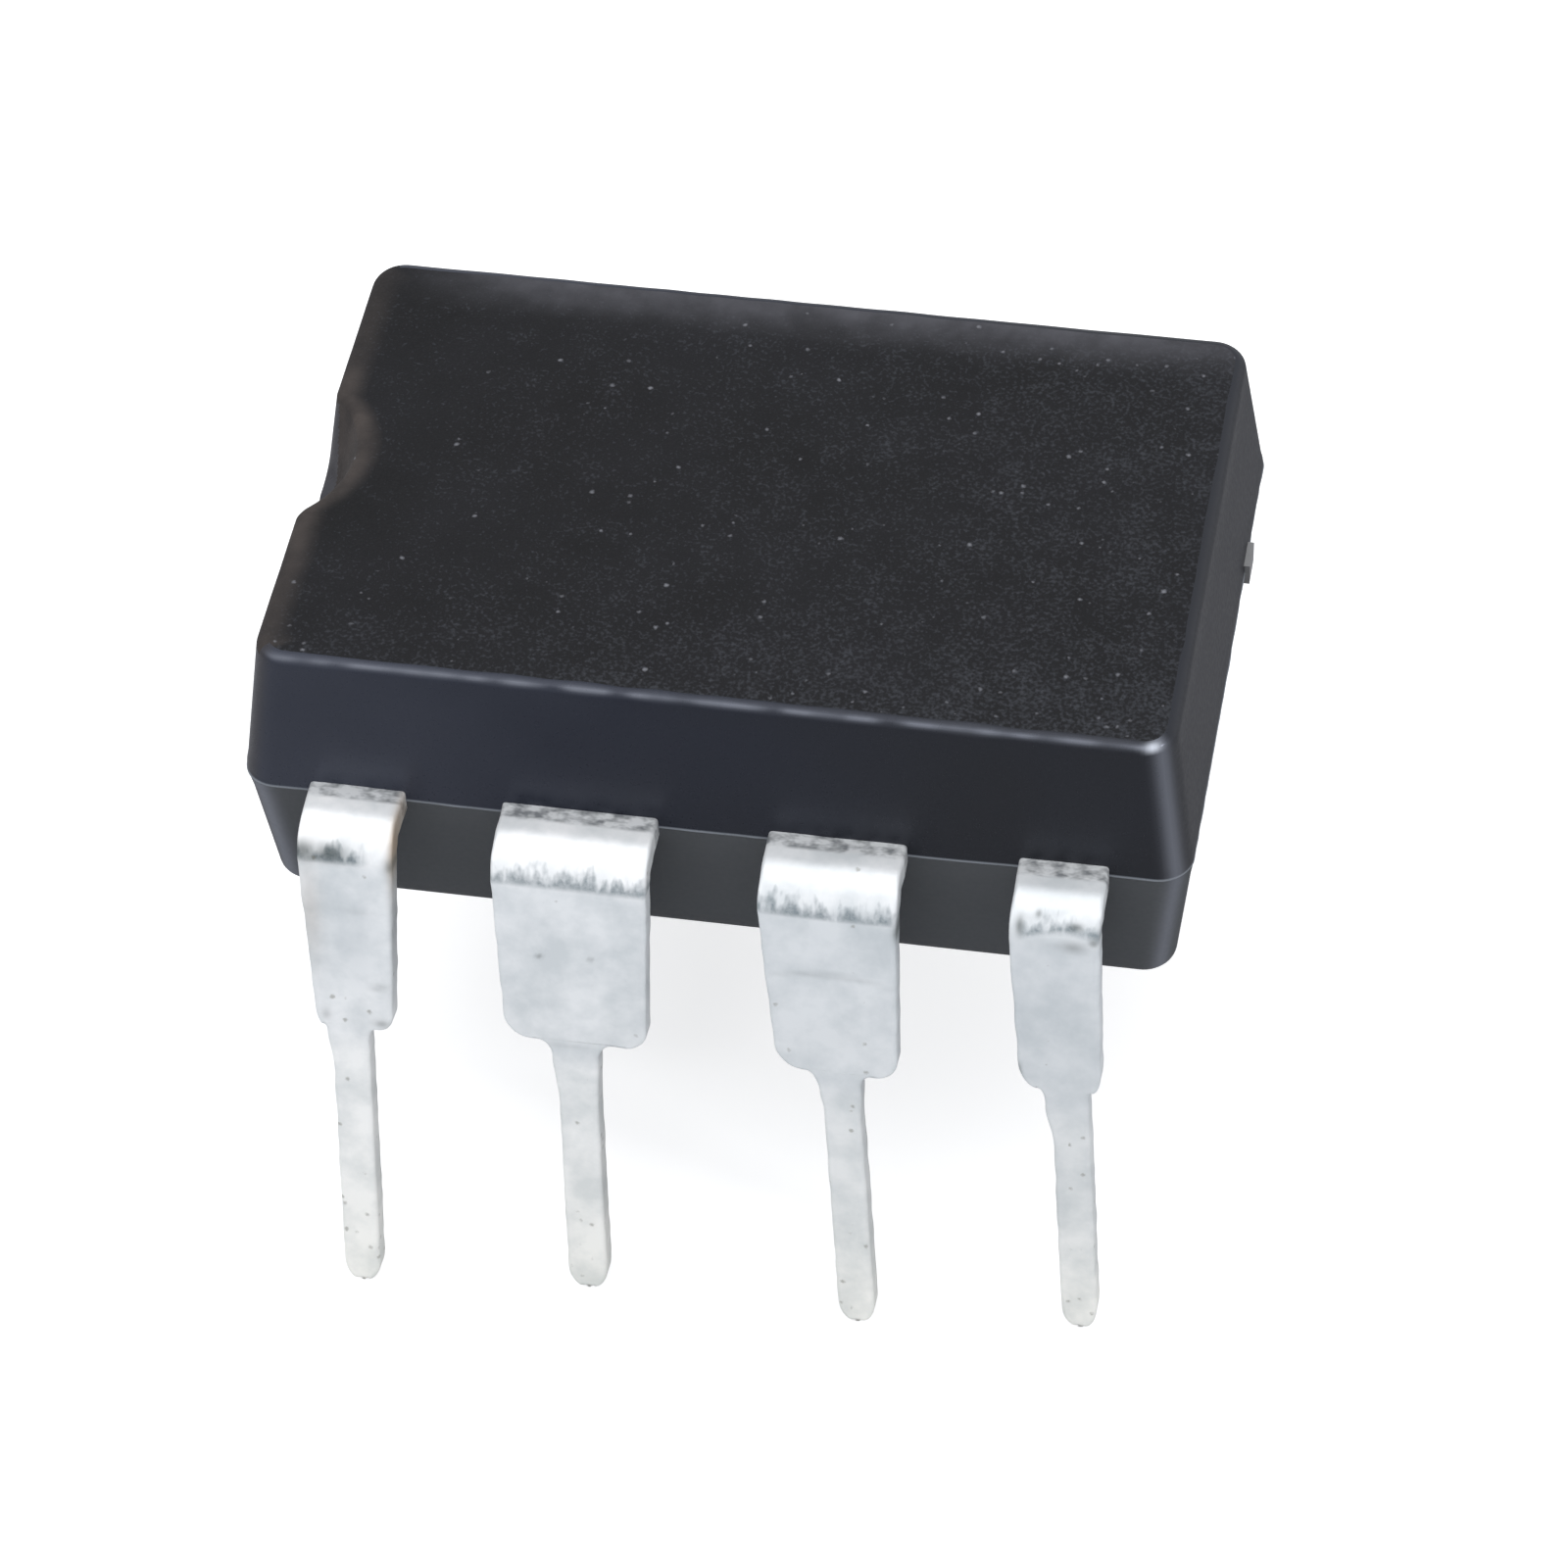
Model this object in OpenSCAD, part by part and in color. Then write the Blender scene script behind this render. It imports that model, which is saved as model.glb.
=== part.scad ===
// Eight-lead dual in-line integrated circuit package, standing on its lead tips.
// Origin on the surface under the tips, in the middle of the lead pattern.
// +X runs along the body away from the notched end, +Y to the back row, +Z up.

/* [Package body] */
// Length of the moulded body at its parting line
body_length = 9.6; // [9.4:0.05:10.2]
// Width of the moulded body at its parting line
body_width = 6.35; // [6.1:0.05:6.5]
// Height of the body above the parting line
upper_height = 1.65; // [1.4:0.05:1.9]
// Height of the body below the parting line
lower_height = 1.6; // [1.4:0.05:1.9]
// Draft of the walls above the parting line, in degrees
upper_draft = 7; // [4:0.5:10]
// Draft of the walls below the parting line, in degrees
lower_draft = 6; // [4:0.5:10]
// Radius of the upright corners
corner_radius = 0.35; // [0.25:0.01:0.5]
// Rounding of the edge round the top face
top_edge_radius = 0.12; // [0.06:0.01:0.2]
// Rounding of the edge round the underside
bottom_edge_radius = 0.15; // [0.06:0.01:0.22]
// Height of the upright band where the mould halves meet
parting_band = 0.06; // [0.02:0.01:0.1]
// Diameter of the ejector pin marks in the underside
ejector_diameter = 1.5; // [1:0.1:2]
// Depth of the ejector pin marks
ejector_depth = 0.05; // [0.03:0.01:0.1]
// Distance of each ejector pin mark from the middle
ejector_offset = 2.8; // [2:0.1:3.2]

/* [End notch] */
// Width of the notch across the top edge
notch_width = 1.8; // [1.4:0.05:2.2]
// How far the notch reaches in from the end at the top face
notch_reach = 0.4; // [0.3:0.05:0.8]
// Depth of the notch below the top face
notch_drop = 0.95; // [0.6:0.05:1.2]
// Draft of the notch wall, in degrees
notch_draft = 17; // [5:1:20]
// Radius between the notch wall and its floor
notch_floor_radius = 0.3; // [0.1:0.05:0.35]

/* [Lead pattern] */
// Distance from one lead to the next along a row
lead_pitch = 2.54; // [2.5:0.01:2.56]
// Reach of each row from the body's parting line to the middle of its bend
lead_reach = 0.635; // [0.6:0.005:0.75]
// Free height from the ends of the shoulders to the underside of the body
stand_off = 0.6; // [0.4:0.05:0.9]
// Length of each pin from its shoulder to its tip
pin_length = 3.3; // [2.9:0.05:3.6]
// Outward splay of the front legs from left to right, in degrees
front_splay = [11.9, 9.1, 9.5, 6.5]; // [0:0.1:14]
// Outward splay of the back legs from left to right, in degrees
back_splay = [11.9, 9, 8.5, 8]; // [0:0.1:14]
// Sideways lean of the front legs from left to right, in degrees
front_lean = [0.5, 1.1, 3.6, 3]; // [-4:0.1:4]
// Sideways offset of the front pins from the pitch grid at the bend, from left to right
front_offset = [0.2, -0.04, 0.04, -0.17]; // [-0.25:0.01:0.25]

/* [Lead shape] */
// Thickness of the lead frame
lead_thickness = 0.25; // [0.2:0.01:0.3]
// Inside radius of the bend
bend_radius = 0.2; // [0.15:0.01:0.3]
// Width of the pin
pin_width = 0.41; // [0.38:0.01:0.5]
// Radius of the two corners of the tip
tip_radius = 0.18; // [0.05:0.01:0.185]
// Reach of the front leads to the left of their pins at the bend, from left to right
front_left_bend = [0.46, 0.79, 0.71, 0.53]; // [0.3:0.01:0.9]
// The same reach to the right
front_right_bend = [0.51, 0.79, 0.68, 0.37]; // [0.3:0.01:0.9]
// Reach of the front leads to the left of their pins at the foot of the shoulder
front_left_foot = [0.36, 0.74, 0.65, 0.5]; // [0.26:0.01:0.8]
// The same reach to the right
front_right_foot = [0.45, 0.73, 0.6, 0.33]; // [0.26:0.01:0.8]
// Width of a middle back lead at the bend
shoulder_width = 1.52; // [1.4:0.02:1.6]
// Width of a middle back lead at the foot of its shoulder
shoulder_foot_width = 1.4; // [1.1:0.02:1.5]
// Reach of an end back lead from its pin's middle towards the package middle, at the bend
end_inner_reach = 0.68; // [0.6:0.01:0.75]
// The same reach at the foot of the shoulder
end_inner_foot = 0.56; // [0.45:0.01:0.6]
// Reach of an end back lead from its pin's middle away from the package middle, at the bend
end_outer_reach = 0.29; // [0.27:0.01:0.35]
// The same reach at the foot of the shoulder
end_outer_foot = 0.27; // [0.26:0.01:0.3]
// Radius of the shoulder's lower corners
shoulder_corner_radius = 0.24; // [0.1:0.01:0.28]
// Radius between the shoulder and the pin
shoulder_fillet_radius = 0.16; // [0.05:0.01:0.2]

/* [Inner lead frame] */
// Length of the die paddle
paddle_length = 3; // [2.6:0.1:3.2]
// Width of the die paddle
paddle_width = 2.1; // [1.8:0.05:2.2]
// Width of the tie bars that hold the paddle
tie_bar_width = 0.36; // [0.3:0.02:0.4]
// Offset of each tie bar from the middle where it leaves the body
tie_bar_offset = 1.4; // [1.2:0.05:1.5]
// How far the sheared end of a tie bar stands proud of the body
tie_bar_stub = 0.06; // [0.02:0.01:0.1]
// Gap between the paddle and the middle fingers
finger_gap = 0.25; // [0.2:0.01:0.35]
// Gap between a tie bar and the end finger beside it
tie_bar_gap = 0.3; // [0.2:0.02:0.4]
// Width of each finger's end
finger_end_width = 0.6; // [0.5:0.02:0.7]
// Distance of the middle fingers' ends from the package's cross middle
middle_finger_x = 1; // [0.9:0.02:1.1]
// Distance of the end fingers' ends from the package's cross middle
end_finger_x = 2.5; // [2.4:0.02:2.7]
// Straight part of a finger behind the body wall
finger_root = 0.45; // [0.3:0.05:0.6]
// Diameter of the locking hole in a middle finger
locking_hole = 0.4; // [0.3:0.02:0.5]

/* [Die and wires] */
// Length of the die
die_length = 1.7; // [1.4:0.05:1.8]
// Width of the die
die_width = 1.45; // [1.3:0.05:1.5]
// Thickness of the die
die_thickness = 0.3; // [0.2:0.02:0.36]
// Thickness of the adhesive under the die
attach_thickness = 0.03; // [0.02:0.01:0.05]
// How far the adhesive shows round the die
attach_margin = 0.08; // [0.04:0.01:0.12]
// Distance of the bond pads from the die's edges
pad_inset = 0.15; // [0.12:0.01:0.2]
// Diameter of the bond wire
wire_diameter = 0.05; // [0.04:0.005:0.06]
// Diameter of the ball bond on the die
ball_diameter = 0.13; // [0.1:0.01:0.16]
// Height of the ball bond on the die
ball_height = 0.05; // [0.04:0.01:0.07]
// Diameter of the stitch bond on the finger
stitch_diameter = 0.12; // [0.1:0.01:0.16]
// Height of the stitch bond on the finger
stitch_height = 0.06; // [0.055:0.005:0.08]
// Rise of a wire's loop over the straight line between its bonds, as a share of that line
loop_rise = 0.22; // [0.2:0.01:0.28]

/* [Hidden] */
pins_per_row = 4;
lead_count = 2 * pins_per_row;
arc_steps = 8;
margin = 1;
joint_overlap = 0.1;

// Heights above the surface under the tips
parting_z = pin_length + stand_off + lower_height;
top_z = parting_z + upper_height;
bottom_z = parting_z - lower_height;
frame_top_z = parting_z + lead_thickness / 2;
frame_bottom_z = parting_z - lead_thickness / 2;
die_top_z = frame_top_z + attach_thickness + die_thickness;

// Half sizes of the body where its drafted walls would meet the top face
half_length = body_length / 2;
half_width = body_width / 2;
top_half_length = half_length - draft_inset(upper_height, upper_draft);

// The rows stand clear of the body, and the bend turns about an axis inside the elbow
row_spacing = body_width + 2 * lead_reach;
mean_bend_radius = bend_radius + lead_thickness / 2;
outer_bend_radius = bend_radius + lead_thickness;
bend_centre_y = row_spacing / 2 - mean_bend_radius;
bend_centre_z = parting_z - mean_bend_radius;

// Radius of the notch from its width and reach across the top edge
notch_radius = (pow(notch_width / 2, 2) + pow(notch_reach, 2)) / (2 * notch_reach);

// Inner ends of the fingers, measured from the package's long middle line
middle_finger_end = paddle_width / 2 + finger_gap;
end_finger_end = tie_bar_offset + tie_bar_width / 2 + tie_bar_gap;

// How far a drafted wall leans in over a height
function draft_inset(height, draft) = height * tan(draft);

// Points along an arc, both ends included
function arc(centre, radius, from, to) = [
    for (k = [0:arc_steps])
        let (a = from + (to - from) * k / arc_steps)
        [centre[0] + radius * cos(a), centre[1] + radius * sin(a)]];

function mirrored(points) = [
    for (k = [len(points) - 1:-1:0]) [-points[k][0], points[k][1]]];

// Leads 1 to 4 are the front row from left to right, 5 to 8 the back row from right to left
function row_sign(i) = i <= pins_per_row ? -1 : 1;
function place_in_row(i) = i <= pins_per_row ? i - 1 : lead_count - i;
function lead_x(i) = (place_in_row(i) - (pins_per_row - 1) / 2) * lead_pitch;
function is_end(i) = place_in_row(i) == 0 || place_in_row(i) == pins_per_row - 1;
function inward(i) = lead_x(i) < 0 ? 1 : -1;
function splay(i) = row_sign(i) < 0 ? front_splay[place_in_row(i)] : back_splay[place_in_row(i)];
function lean(i) = row_sign(i) < 0 ? front_lean[place_in_row(i)] : 0;
function offset_x(i) = row_sign(i) < 0 ? front_offset[place_in_row(i)] : 0;

// Straight leg length that brings the tip's lower edge to the surface
function leg_length(i) = (bend_centre_z + bend_radius * sin(splay(i))) / cos(splay(i));

// Reach of the metal to one side of the pin's middle: side is -1 for left and 1 for right
function reach_at_bend(i, side) =
    row_sign(i) < 0 ? (side < 0 ? front_left_bend : front_right_bend)[place_in_row(i)] :
    !is_end(i) ? shoulder_width / 2 : side == inward(i) ? end_inner_reach : end_outer_reach;
function reach_at_foot(i, side) =
    row_sign(i) < 0 ? (side < 0 ? front_left_foot : front_right_foot)[place_in_row(i)] :
    !is_end(i) ? shoulder_foot_width / 2 : side == inward(i) ? end_inner_foot : end_outer_foot;

// Edge of the strip at the bend, from the lead's place on the pitch grid
function strip_edge(i, side) = offset_x(i) + side * reach_at_bend(i, side);

// One side of the leg's outline, from the tip up over the shoulder to above the bend
function leg_side(at_foot, at_bend, length) =
    let (half_pin = pin_width / 2,
         step = at_foot - half_pin,
         corner = min(shoulder_corner_radius, step * 0.55),
         fillet = min(shoulder_fillet_radius, step * 0.45))
    concat(
        arc([half_pin - tip_radius, tip_radius], tip_radius, -90, 0),
        arc([half_pin + fillet, pin_length - fillet], fillet, 180, 90),
        arc([at_foot - corner, pin_length + corner], corner, -90, 0),
        [[at_bend, length], [at_bend, length + 2 * outer_bend_radius]]);

// Both sides, leaned over sideways below the bend
function leg_outline(i) =
    let (length = leg_length(i),
         right = leg_side(reach_at_foot(i, 1), reach_at_bend(i, 1), length),
         left = leg_side(reach_at_foot(i, -1), reach_at_bend(i, -1), length))
    [for (p = concat(right, mirrored(left)))
        [p[0] + offset_x(i) + tan(lean(i)) * max(length - p[1], 0), p[1]]];

// Section through the bent strip: y outwards, z up, from inside the bend to past the tip
function strip_section(i) =
    let (s = splay(i),
         centre = [bend_centre_y, bend_centre_z],
         down = (leg_length(i) + margin) * [sin(s), -cos(s)],
         outside = arc(centre, outer_bend_radius, 90, s),
         inside = arc(centre, bend_radius, s, 90))
    concat(
        [[bend_centre_y - joint_overlap, frame_top_z]],
        outside,
        [outside[arc_steps] + down, inside[0] + down],
        inside,
        [[bend_centre_y - joint_overlap, frame_bottom_z]]);

// One edge of a finger's plan, from the bend through the body wall to its end beside the paddle
function finger_edge(i, side) =
    let (root = half_width - finger_root,
         end_y = is_end(i) ? end_finger_end : middle_finger_end,
         end_x = inward(i) * (abs(lead_x(i)) - (is_end(i) ? end_finger_x : middle_finger_x)),
         corner_x = end_x + side * finger_end_width / 2)
    concat(
        [[strip_edge(i, side), bend_centre_y], [strip_edge(i, side), root]],
        is_end(i) && side == inward(i) ? [[corner_x, end_y + finger_root]] : [],
        [[corner_x, end_y]]);
function finger_plan(i) =
    let (left = finger_edge(i, -1))
    concat(finger_edge(i, 1), [for (k = [len(left) - 1:-1:0]) left[k]]);

// Puts a lead that is drawn for the back row at its own place
module in_place(i) {
    translate([lead_x(i), 0, 0]) mirror([0, row_sign(i) < 0 ? 1 : 0, 0]) children();
}

// Flat part of a lead inside the body, with a locking hole in a middle finger
module finger(i) {
    translate([0, 0, frame_bottom_z]) linear_extrude(lead_thickness) difference() {
        polygon(finger_plan(i));
        if (!is_end(i))
            translate([(strip_edge(i, -1) + strip_edge(i, 1)) / 2, half_width - finger_root - locking_hole / 2])
                circle(d = locking_hole, $fn = 32);
    }
}

// Bend, shoulder and pin: the bent strip cut to the leg's outline
module leg(i) {
    tip_y = bend_centre_y + mean_bend_radius * cos(splay(i)) + leg_length(i) * sin(splay(i));
    tip_z = bend_centre_z + mean_bend_radius * sin(splay(i)) - leg_length(i) * cos(splay(i));
    intersection() {
        rotate([90, 0, 90]) linear_extrude(2 * lead_pitch, center = true) polygon(strip_section(i));
        translate([0, tip_y, tip_z]) rotate([90 + splay(i), 0, 0])
            linear_extrude(4 * outer_bend_radius, center = true) polygon(leg_outline(i));
    }
}

module lead(i) {
    color("lightsteelblue") in_place(i) {
        finger(i);
        leg(i);
    }
}

// Four rounded corner pieces at one height of the body
module corner_posts(inset, z) {
    for (x = [-1, 1], y = [-1, 1])
        translate([x * (half_length - inset - corner_radius), y * (half_width - inset - corner_radius), z])
            children();
}

module rounded_edge(edge_radius) {
    rotate_extrude($fn = 32) translate([corner_radius - edge_radius, 0]) circle(r = edge_radius, $fn = 16);
}

// Outer form: widest at the parting band, drafted to a rounded top and underside
module outer_form() {
    hull() {
        corner_posts(0, parting_z - parting_band / 2) cylinder(h = parting_band, r = corner_radius, $fn = 32);
        corner_posts(draft_inset(upper_height - top_edge_radius, upper_draft), top_z - top_edge_radius)
            rounded_edge(top_edge_radius);
        corner_posts(draft_inset(lower_height - bottom_edge_radius, lower_draft), bottom_z + bottom_edge_radius)
            rounded_edge(bottom_edge_radius);
    }
}

// Notch in the end beside lead 1: a shallow arc with a drafted wall and a rounded floor
module end_notch() {
    floor_z = top_z - notch_drop;
    fillet_z = floor_z + notch_floor_radius;
    fillet_x = notch_radius - (top_z - fillet_z) * tan(notch_draft) - notch_floor_radius / cos(notch_draft);
    translate([notch_reach - notch_radius - top_half_length, 0, 0]) rotate_extrude($fn = 96) polygon(concat(
        [[0, floor_z]],
        arc([fillet_x, fillet_z], notch_floor_radius, -90, -notch_draft),
        [[notch_radius + margin * tan(notch_draft), top_z + margin], [0, top_z + margin]]));
}

module ejector_marks() {
    for (x = [-1, 1])
        translate([x * ejector_offset, 0, bottom_z - margin])
            cylinder(h = margin + ejector_depth, d = ejector_diameter, $fn = 48);
}

// Moulding compound, with the space that everything inside it fills
module package_body() {
    color("#2c2d30") difference() {
        outer_form();
        end_notch();
        ejector_marks();
        for (i = [1:lead_count]) in_place(i) finger(i);
        paddle_plate();
        attach_film();
        die_block();
        for (i = [1:lead_count]) wire(i);
    }
}

// Tie bar from the paddle's end to the right-hand end of the body
module tie_bar() {
    half_bar = tie_bar_width / 2;
    start_x = paddle_length / 2;
    start_y = paddle_width / 2 - tie_bar_width;
    end_x = half_length + tie_bar_stub;
    polygon([[start_x - joint_overlap, start_y], [start_x + tie_bar_width, start_y],
             [start_x + 2 * tie_bar_width, tie_bar_offset - half_bar], [end_x, tie_bar_offset - half_bar],
             [end_x, tie_bar_offset + half_bar], [start_x + 1.5 * tie_bar_width, tie_bar_offset + half_bar],
             [start_x + 0.5 * tie_bar_width, paddle_width / 2], [start_x - joint_overlap, paddle_width / 2]]);
}

module paddle_plate() {
    translate([0, 0, frame_bottom_z]) linear_extrude(lead_thickness) {
        square([paddle_length, paddle_width], center = true);
        tie_bar();
        rotate(180) tie_bar();
    }
}

module die_paddle() {
    color("peru") paddle_plate();
}

module attach_film() {
    translate([0, 0, frame_top_z]) linear_extrude(attach_thickness)
        square([die_length + 2 * attach_margin, die_width + 2 * attach_margin], center = true);
}

module die_attach() {
    color("silver") attach_film();
}

module die_block() {
    translate([0, 0, frame_top_z + attach_thickness]) linear_extrude(die_thickness)
        square([die_length, die_width], center = true);
}

module silicon_die() {
    color("slategray") die_block();
}

// Where a wire's ball sits on the die, and where its stitch sits on the finger
function pad_place(i) = [
    -inward(i) * (is_end(i) ? die_length / 2 - pad_inset : die_length / 4),
    row_sign(i) * (is_end(i) ? die_width / 4 : die_width / 2 - pad_inset)];
function stitch_place(i) = [
    -inward(i) * (is_end(i) ? end_finger_x : middle_finger_x),
    row_sign(i) * ((is_end(i) ? end_finger_end : middle_finger_end) + finger_end_width / 2)];

// Ball, stitch and one arc of wire between them, in one upright plane
module wire(i) {
    pad = pad_place(i);
    run = stitch_place(i) - pad;
    ball_top = [0, die_top_z + ball_height];
    stitch_middle = [norm(run), frame_top_z + stitch_height / 2];
    chord = stitch_middle - ball_top;
    half_turn = 2 * atan(2 * loop_rise);
    loop_radius = norm(chord) / 2 / sin(half_turn);
    chord_angle = atan2(chord[1], chord[0]);
    loop_centre = (ball_top + stitch_middle) / 2
        + loop_radius * cos(half_turn) * [sin(chord_angle), -cos(chord_angle)];
    translate([pad[0], pad[1], 0]) rotate(atan2(run[1], run[0])) {
        translate([0, 0, die_top_z]) cylinder(h = ball_height, d = ball_diameter, $fn = 24);
        translate([loop_centre[0], 0, loop_centre[1]]) rotate([90, 0, 0])
            rotate(90 + chord_angle - half_turn) rotate_extrude(angle = 2 * half_turn, $fn = 96)
                translate([loop_radius, 0]) circle(d = wire_diameter, $fn = 16);
        translate([norm(run), 0, frame_top_z]) cylinder(h = stitch_height, d = stitch_diameter, $fn = 24);
    }
}

module bond_wire(i) {
    color("gold") wire(i);
}

package_body();
for (i = [1:lead_count]) lead(i);
die_paddle();
die_attach();
silicon_die();
for (i = [1:lead_count]) bond_wire(i);
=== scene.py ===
# Eight-lead dual in-line integrated circuit on its lead tips: surfaces, finishes, floor, light and camera.
# Sizes are in millimetres until a surface goes into its mesh, which is in metres.
import functools

import bmesh
import bpy
import numpy as np
from mathutils import Matrix


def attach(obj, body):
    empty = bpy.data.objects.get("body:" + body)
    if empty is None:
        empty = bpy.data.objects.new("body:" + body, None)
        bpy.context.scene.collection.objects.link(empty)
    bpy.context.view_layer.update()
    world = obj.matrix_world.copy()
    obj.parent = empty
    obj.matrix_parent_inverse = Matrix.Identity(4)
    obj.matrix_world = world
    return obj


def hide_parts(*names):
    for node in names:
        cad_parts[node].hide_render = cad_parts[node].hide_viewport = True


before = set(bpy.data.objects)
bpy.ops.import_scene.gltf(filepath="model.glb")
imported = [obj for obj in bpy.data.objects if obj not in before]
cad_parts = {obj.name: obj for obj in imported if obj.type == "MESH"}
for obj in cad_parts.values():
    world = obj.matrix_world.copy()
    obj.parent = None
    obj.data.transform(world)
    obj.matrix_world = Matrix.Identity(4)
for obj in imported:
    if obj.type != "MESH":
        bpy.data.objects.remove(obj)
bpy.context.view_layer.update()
print("stage 1: frame loaded,", len(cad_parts), "nodes")

metre = 0.001  # one millimetre in metres
perMillimetre = 1000.0  # a pattern's scale is this over its width in millimetres


def toLinear(hexColour):
    # a byte v of 0 to 1 becomes v / 12.92 below 0.04045, and ((v + 0.055) / 1.055) to the power 2.4 above it
    channels = [int(hexColour[k:k + 2], 16) / 255 for k in (1, 3, 5)]
    return [v / 12.92 if v <= 0.04045 else ((v + 0.055) / 1.055) ** 2.4 for v in channels] + [1.0]


def linkInto(node, links):
    # links hold an output, or a node for its first output, for each of the node's inputs
    for name, source in links.items():
        node.id_data.links.new(source.outputs[0] if hasattr(source, "outputs") else source, node.inputs[name])


def addNode(tree, kind, settings=None, values=None, links=None, stops=None):
    # settings are the node's own properties, values its unlinked sockets, links its linked ones, and
    # stops a ramp's places and colours
    node = tree.nodes.new("ShaderNode" + kind)
    for name, value in (settings or {}).items():
        setattr(node, name, value)
    for name, value in (values or {}).items():
        node.inputs[name].default_value = value
    linkInto(node, links or {})
    for k, (place, colour) in enumerate(stops or []):
        element = node.color_ramp.elements[k] if k < 2 else node.color_ramp.elements.new(place)
        element.position = place
        element.color = toLinear(colour)
    return node


# settings that many nodes share; sockets 1 and 2 of a MapRange are the ends of what comes in and 3 and 4
# the ends of what goes out, and sockets 6 and 7 of a colour mix are its two colours
colourMix = {"data_type": "RGBA"}
times = {"operation": "MULTIPLY"}
timesPlus = {"operation": "MULTIPLY_ADD"}
minus = {"operation": "SUBTRACT"}
lessThan = {"operation": "LESS_THAN"}
smooth = {"interpolation_type": "SMOOTHSTEP"}


def newMaterial(name, values):
    # a material, addNode for its tree, its shader, whose constant sockets are set here, and the object's
    # coordinates
    material = bpy.data.materials.new(name)
    material.use_nodes = True
    tree = material.node_tree
    tree.nodes.clear()
    add = functools.partial(addNode, tree)
    shader = add("BsdfPrincipled", values=values)
    add("OutputMaterial", links={"Surface": shader})
    return material, add, shader, add("TexCoord").outputs["Object"]


def smoothStep(low, high, value):
    # 0 below low, 1 above high, and 3t^2 - 2t^3 of the share t in between
    t = np.clip((value - low) / (high - low), 0, 1)
    return t * t * (3 - 2 * t)


def waveNoise(seed, x, y, width):
    # sum of sines of random direction and phase with wavelengths near the width, scaled to about -1 to 1
    count = 14
    draw = np.random.default_rng(seed)
    angle = draw.uniform(0, 2 * np.pi, count)
    rate = 2 * np.pi / (width * draw.uniform(0.6, 1.8, count))
    phase = draw.uniform(0, 2 * np.pi, count)
    total = np.zeros(np.broadcast(x, y).shape)
    for k in range(count):
        total += np.sin(rate[k] * (np.cos(angle[k]) * x + np.sin(angle[k]) * y) + phase[k])
    return total / np.sqrt(count)


def gridFaces(rows, columns, first=0):
    # four-cornered faces of a grid of points kept row by row, whose last column meets its first
    row = np.arange(rows - 1)[:, None] * columns + first
    here = np.arange(columns)[None, :]
    after = (here + 1) % columns
    quads = np.stack([row + here, row + after, row + columns + after, row + columns + here], axis=-1)
    return quads.reshape(-1, 4)


def makePiece(name, points, faces, node, materials, faceMaterial=None, uv=None, tints=None):
    # points in millimetres; uv and tints hold one row a point
    mesh = bpy.data.meshes.new(name)
    mesh.from_pydata((np.asarray(points) * metre).tolist(), [], [list(map(int, face)) for face in faces])
    for material in materials:
        mesh.materials.append(material)
    if faceMaterial is not None:
        mesh.polygons.foreach_set("material_index", np.asarray(faceMaterial, np.int32))
    mesh.polygons.foreach_set("use_smooth", np.ones(len(mesh.polygons), bool))
    if uv is not None:
        corner = np.empty(len(mesh.loops), np.int32)
        mesh.loops.foreach_get("vertex_index", corner)
        mesh.uv_layers.new(name="strip").data.foreach_set("uv", np.asarray(uv, np.float32)[corner].ravel())
    for title, column in (tints or {}).items():
        layer = mesh.attributes.new(title, "FLOAT", "POINT")
        layer.data.foreach_set("value", np.asarray(column, np.float32))
    shell = bmesh.new()
    shell.from_mesh(mesh)
    bmesh.ops.remove_doubles(shell, verts=shell.verts, dist=0.00002 * metre)
    bmesh.ops.recalc_face_normals(shell, faces=shell.faces)
    shell.to_mesh(mesh)
    shell.free()
    mesh.update()
    piece = bpy.data.objects.new(name, mesh)
    bpy.context.scene.collection.objects.link(piece)
    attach(piece, "root")
    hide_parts(node)
    return piece


# Glass-filled epoxy moulding compound, top face: the mould was spark eroded there, so it is matte,
# with a fine pepper and single glints of filler
grain = {"width": 0.04, "depth": 0.005, "clusterWidth": 0.35, "fleckWidth": 0.1, "raggedWidth": 0.03,
    "patchWidth": 1.4, "endFades": (-4.6, 4.6), "frontFades": (-1.4, -3.0)}
blastedEpoxy, add, shader, place = newMaterial("blastedEpoxy", {"Specular IOR Level": 0.22})
axes = add("SeparateXYZ", links={0: place})
fine = add("TexNoise", values={"Scale": perMillimetre / grain["width"], "Detail": 3, "Roughness": 0.6},
    links={"Vector": place})
patch = add("TexNoise", values={"Scale": perMillimetre / grain["patchWidth"], "Detail": 4},
    links={"Vector": place})
cluster = add("TexNoise", values={"Scale": perMillimetre / grain["clusterWidth"], "Detail": 3},
    links={"Vector": place})
# filler shows more towards the end away from the notch and along the front edge, and in clusters
low, high = np.array(grain["endFades"]) * metre
towardsEnd = add("MapRange", values={1: low, 2: high, 4: 0.1}, links={0: axes.outputs["X"]})
low, high = np.array(grain["frontFades"]) * metre
towardsFront = add("MapRange", values={1: low, 2: high, 4: 0.07}, links={0: axes.outputs["Y"]})
denser = add("Math", links={0: towardsEnd, 1: towardsFront})
clustered = add("Math", timesPlus, values={1: 0.22}, links={0: cluster, 2: denser})
grainLevel = add("Math", links={0: fine, 1: clustered})
peppered = add("MapRange", values={1: 0.68, 2: 0.96, 4: 0.95}, links={0: grainLevel})
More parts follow.
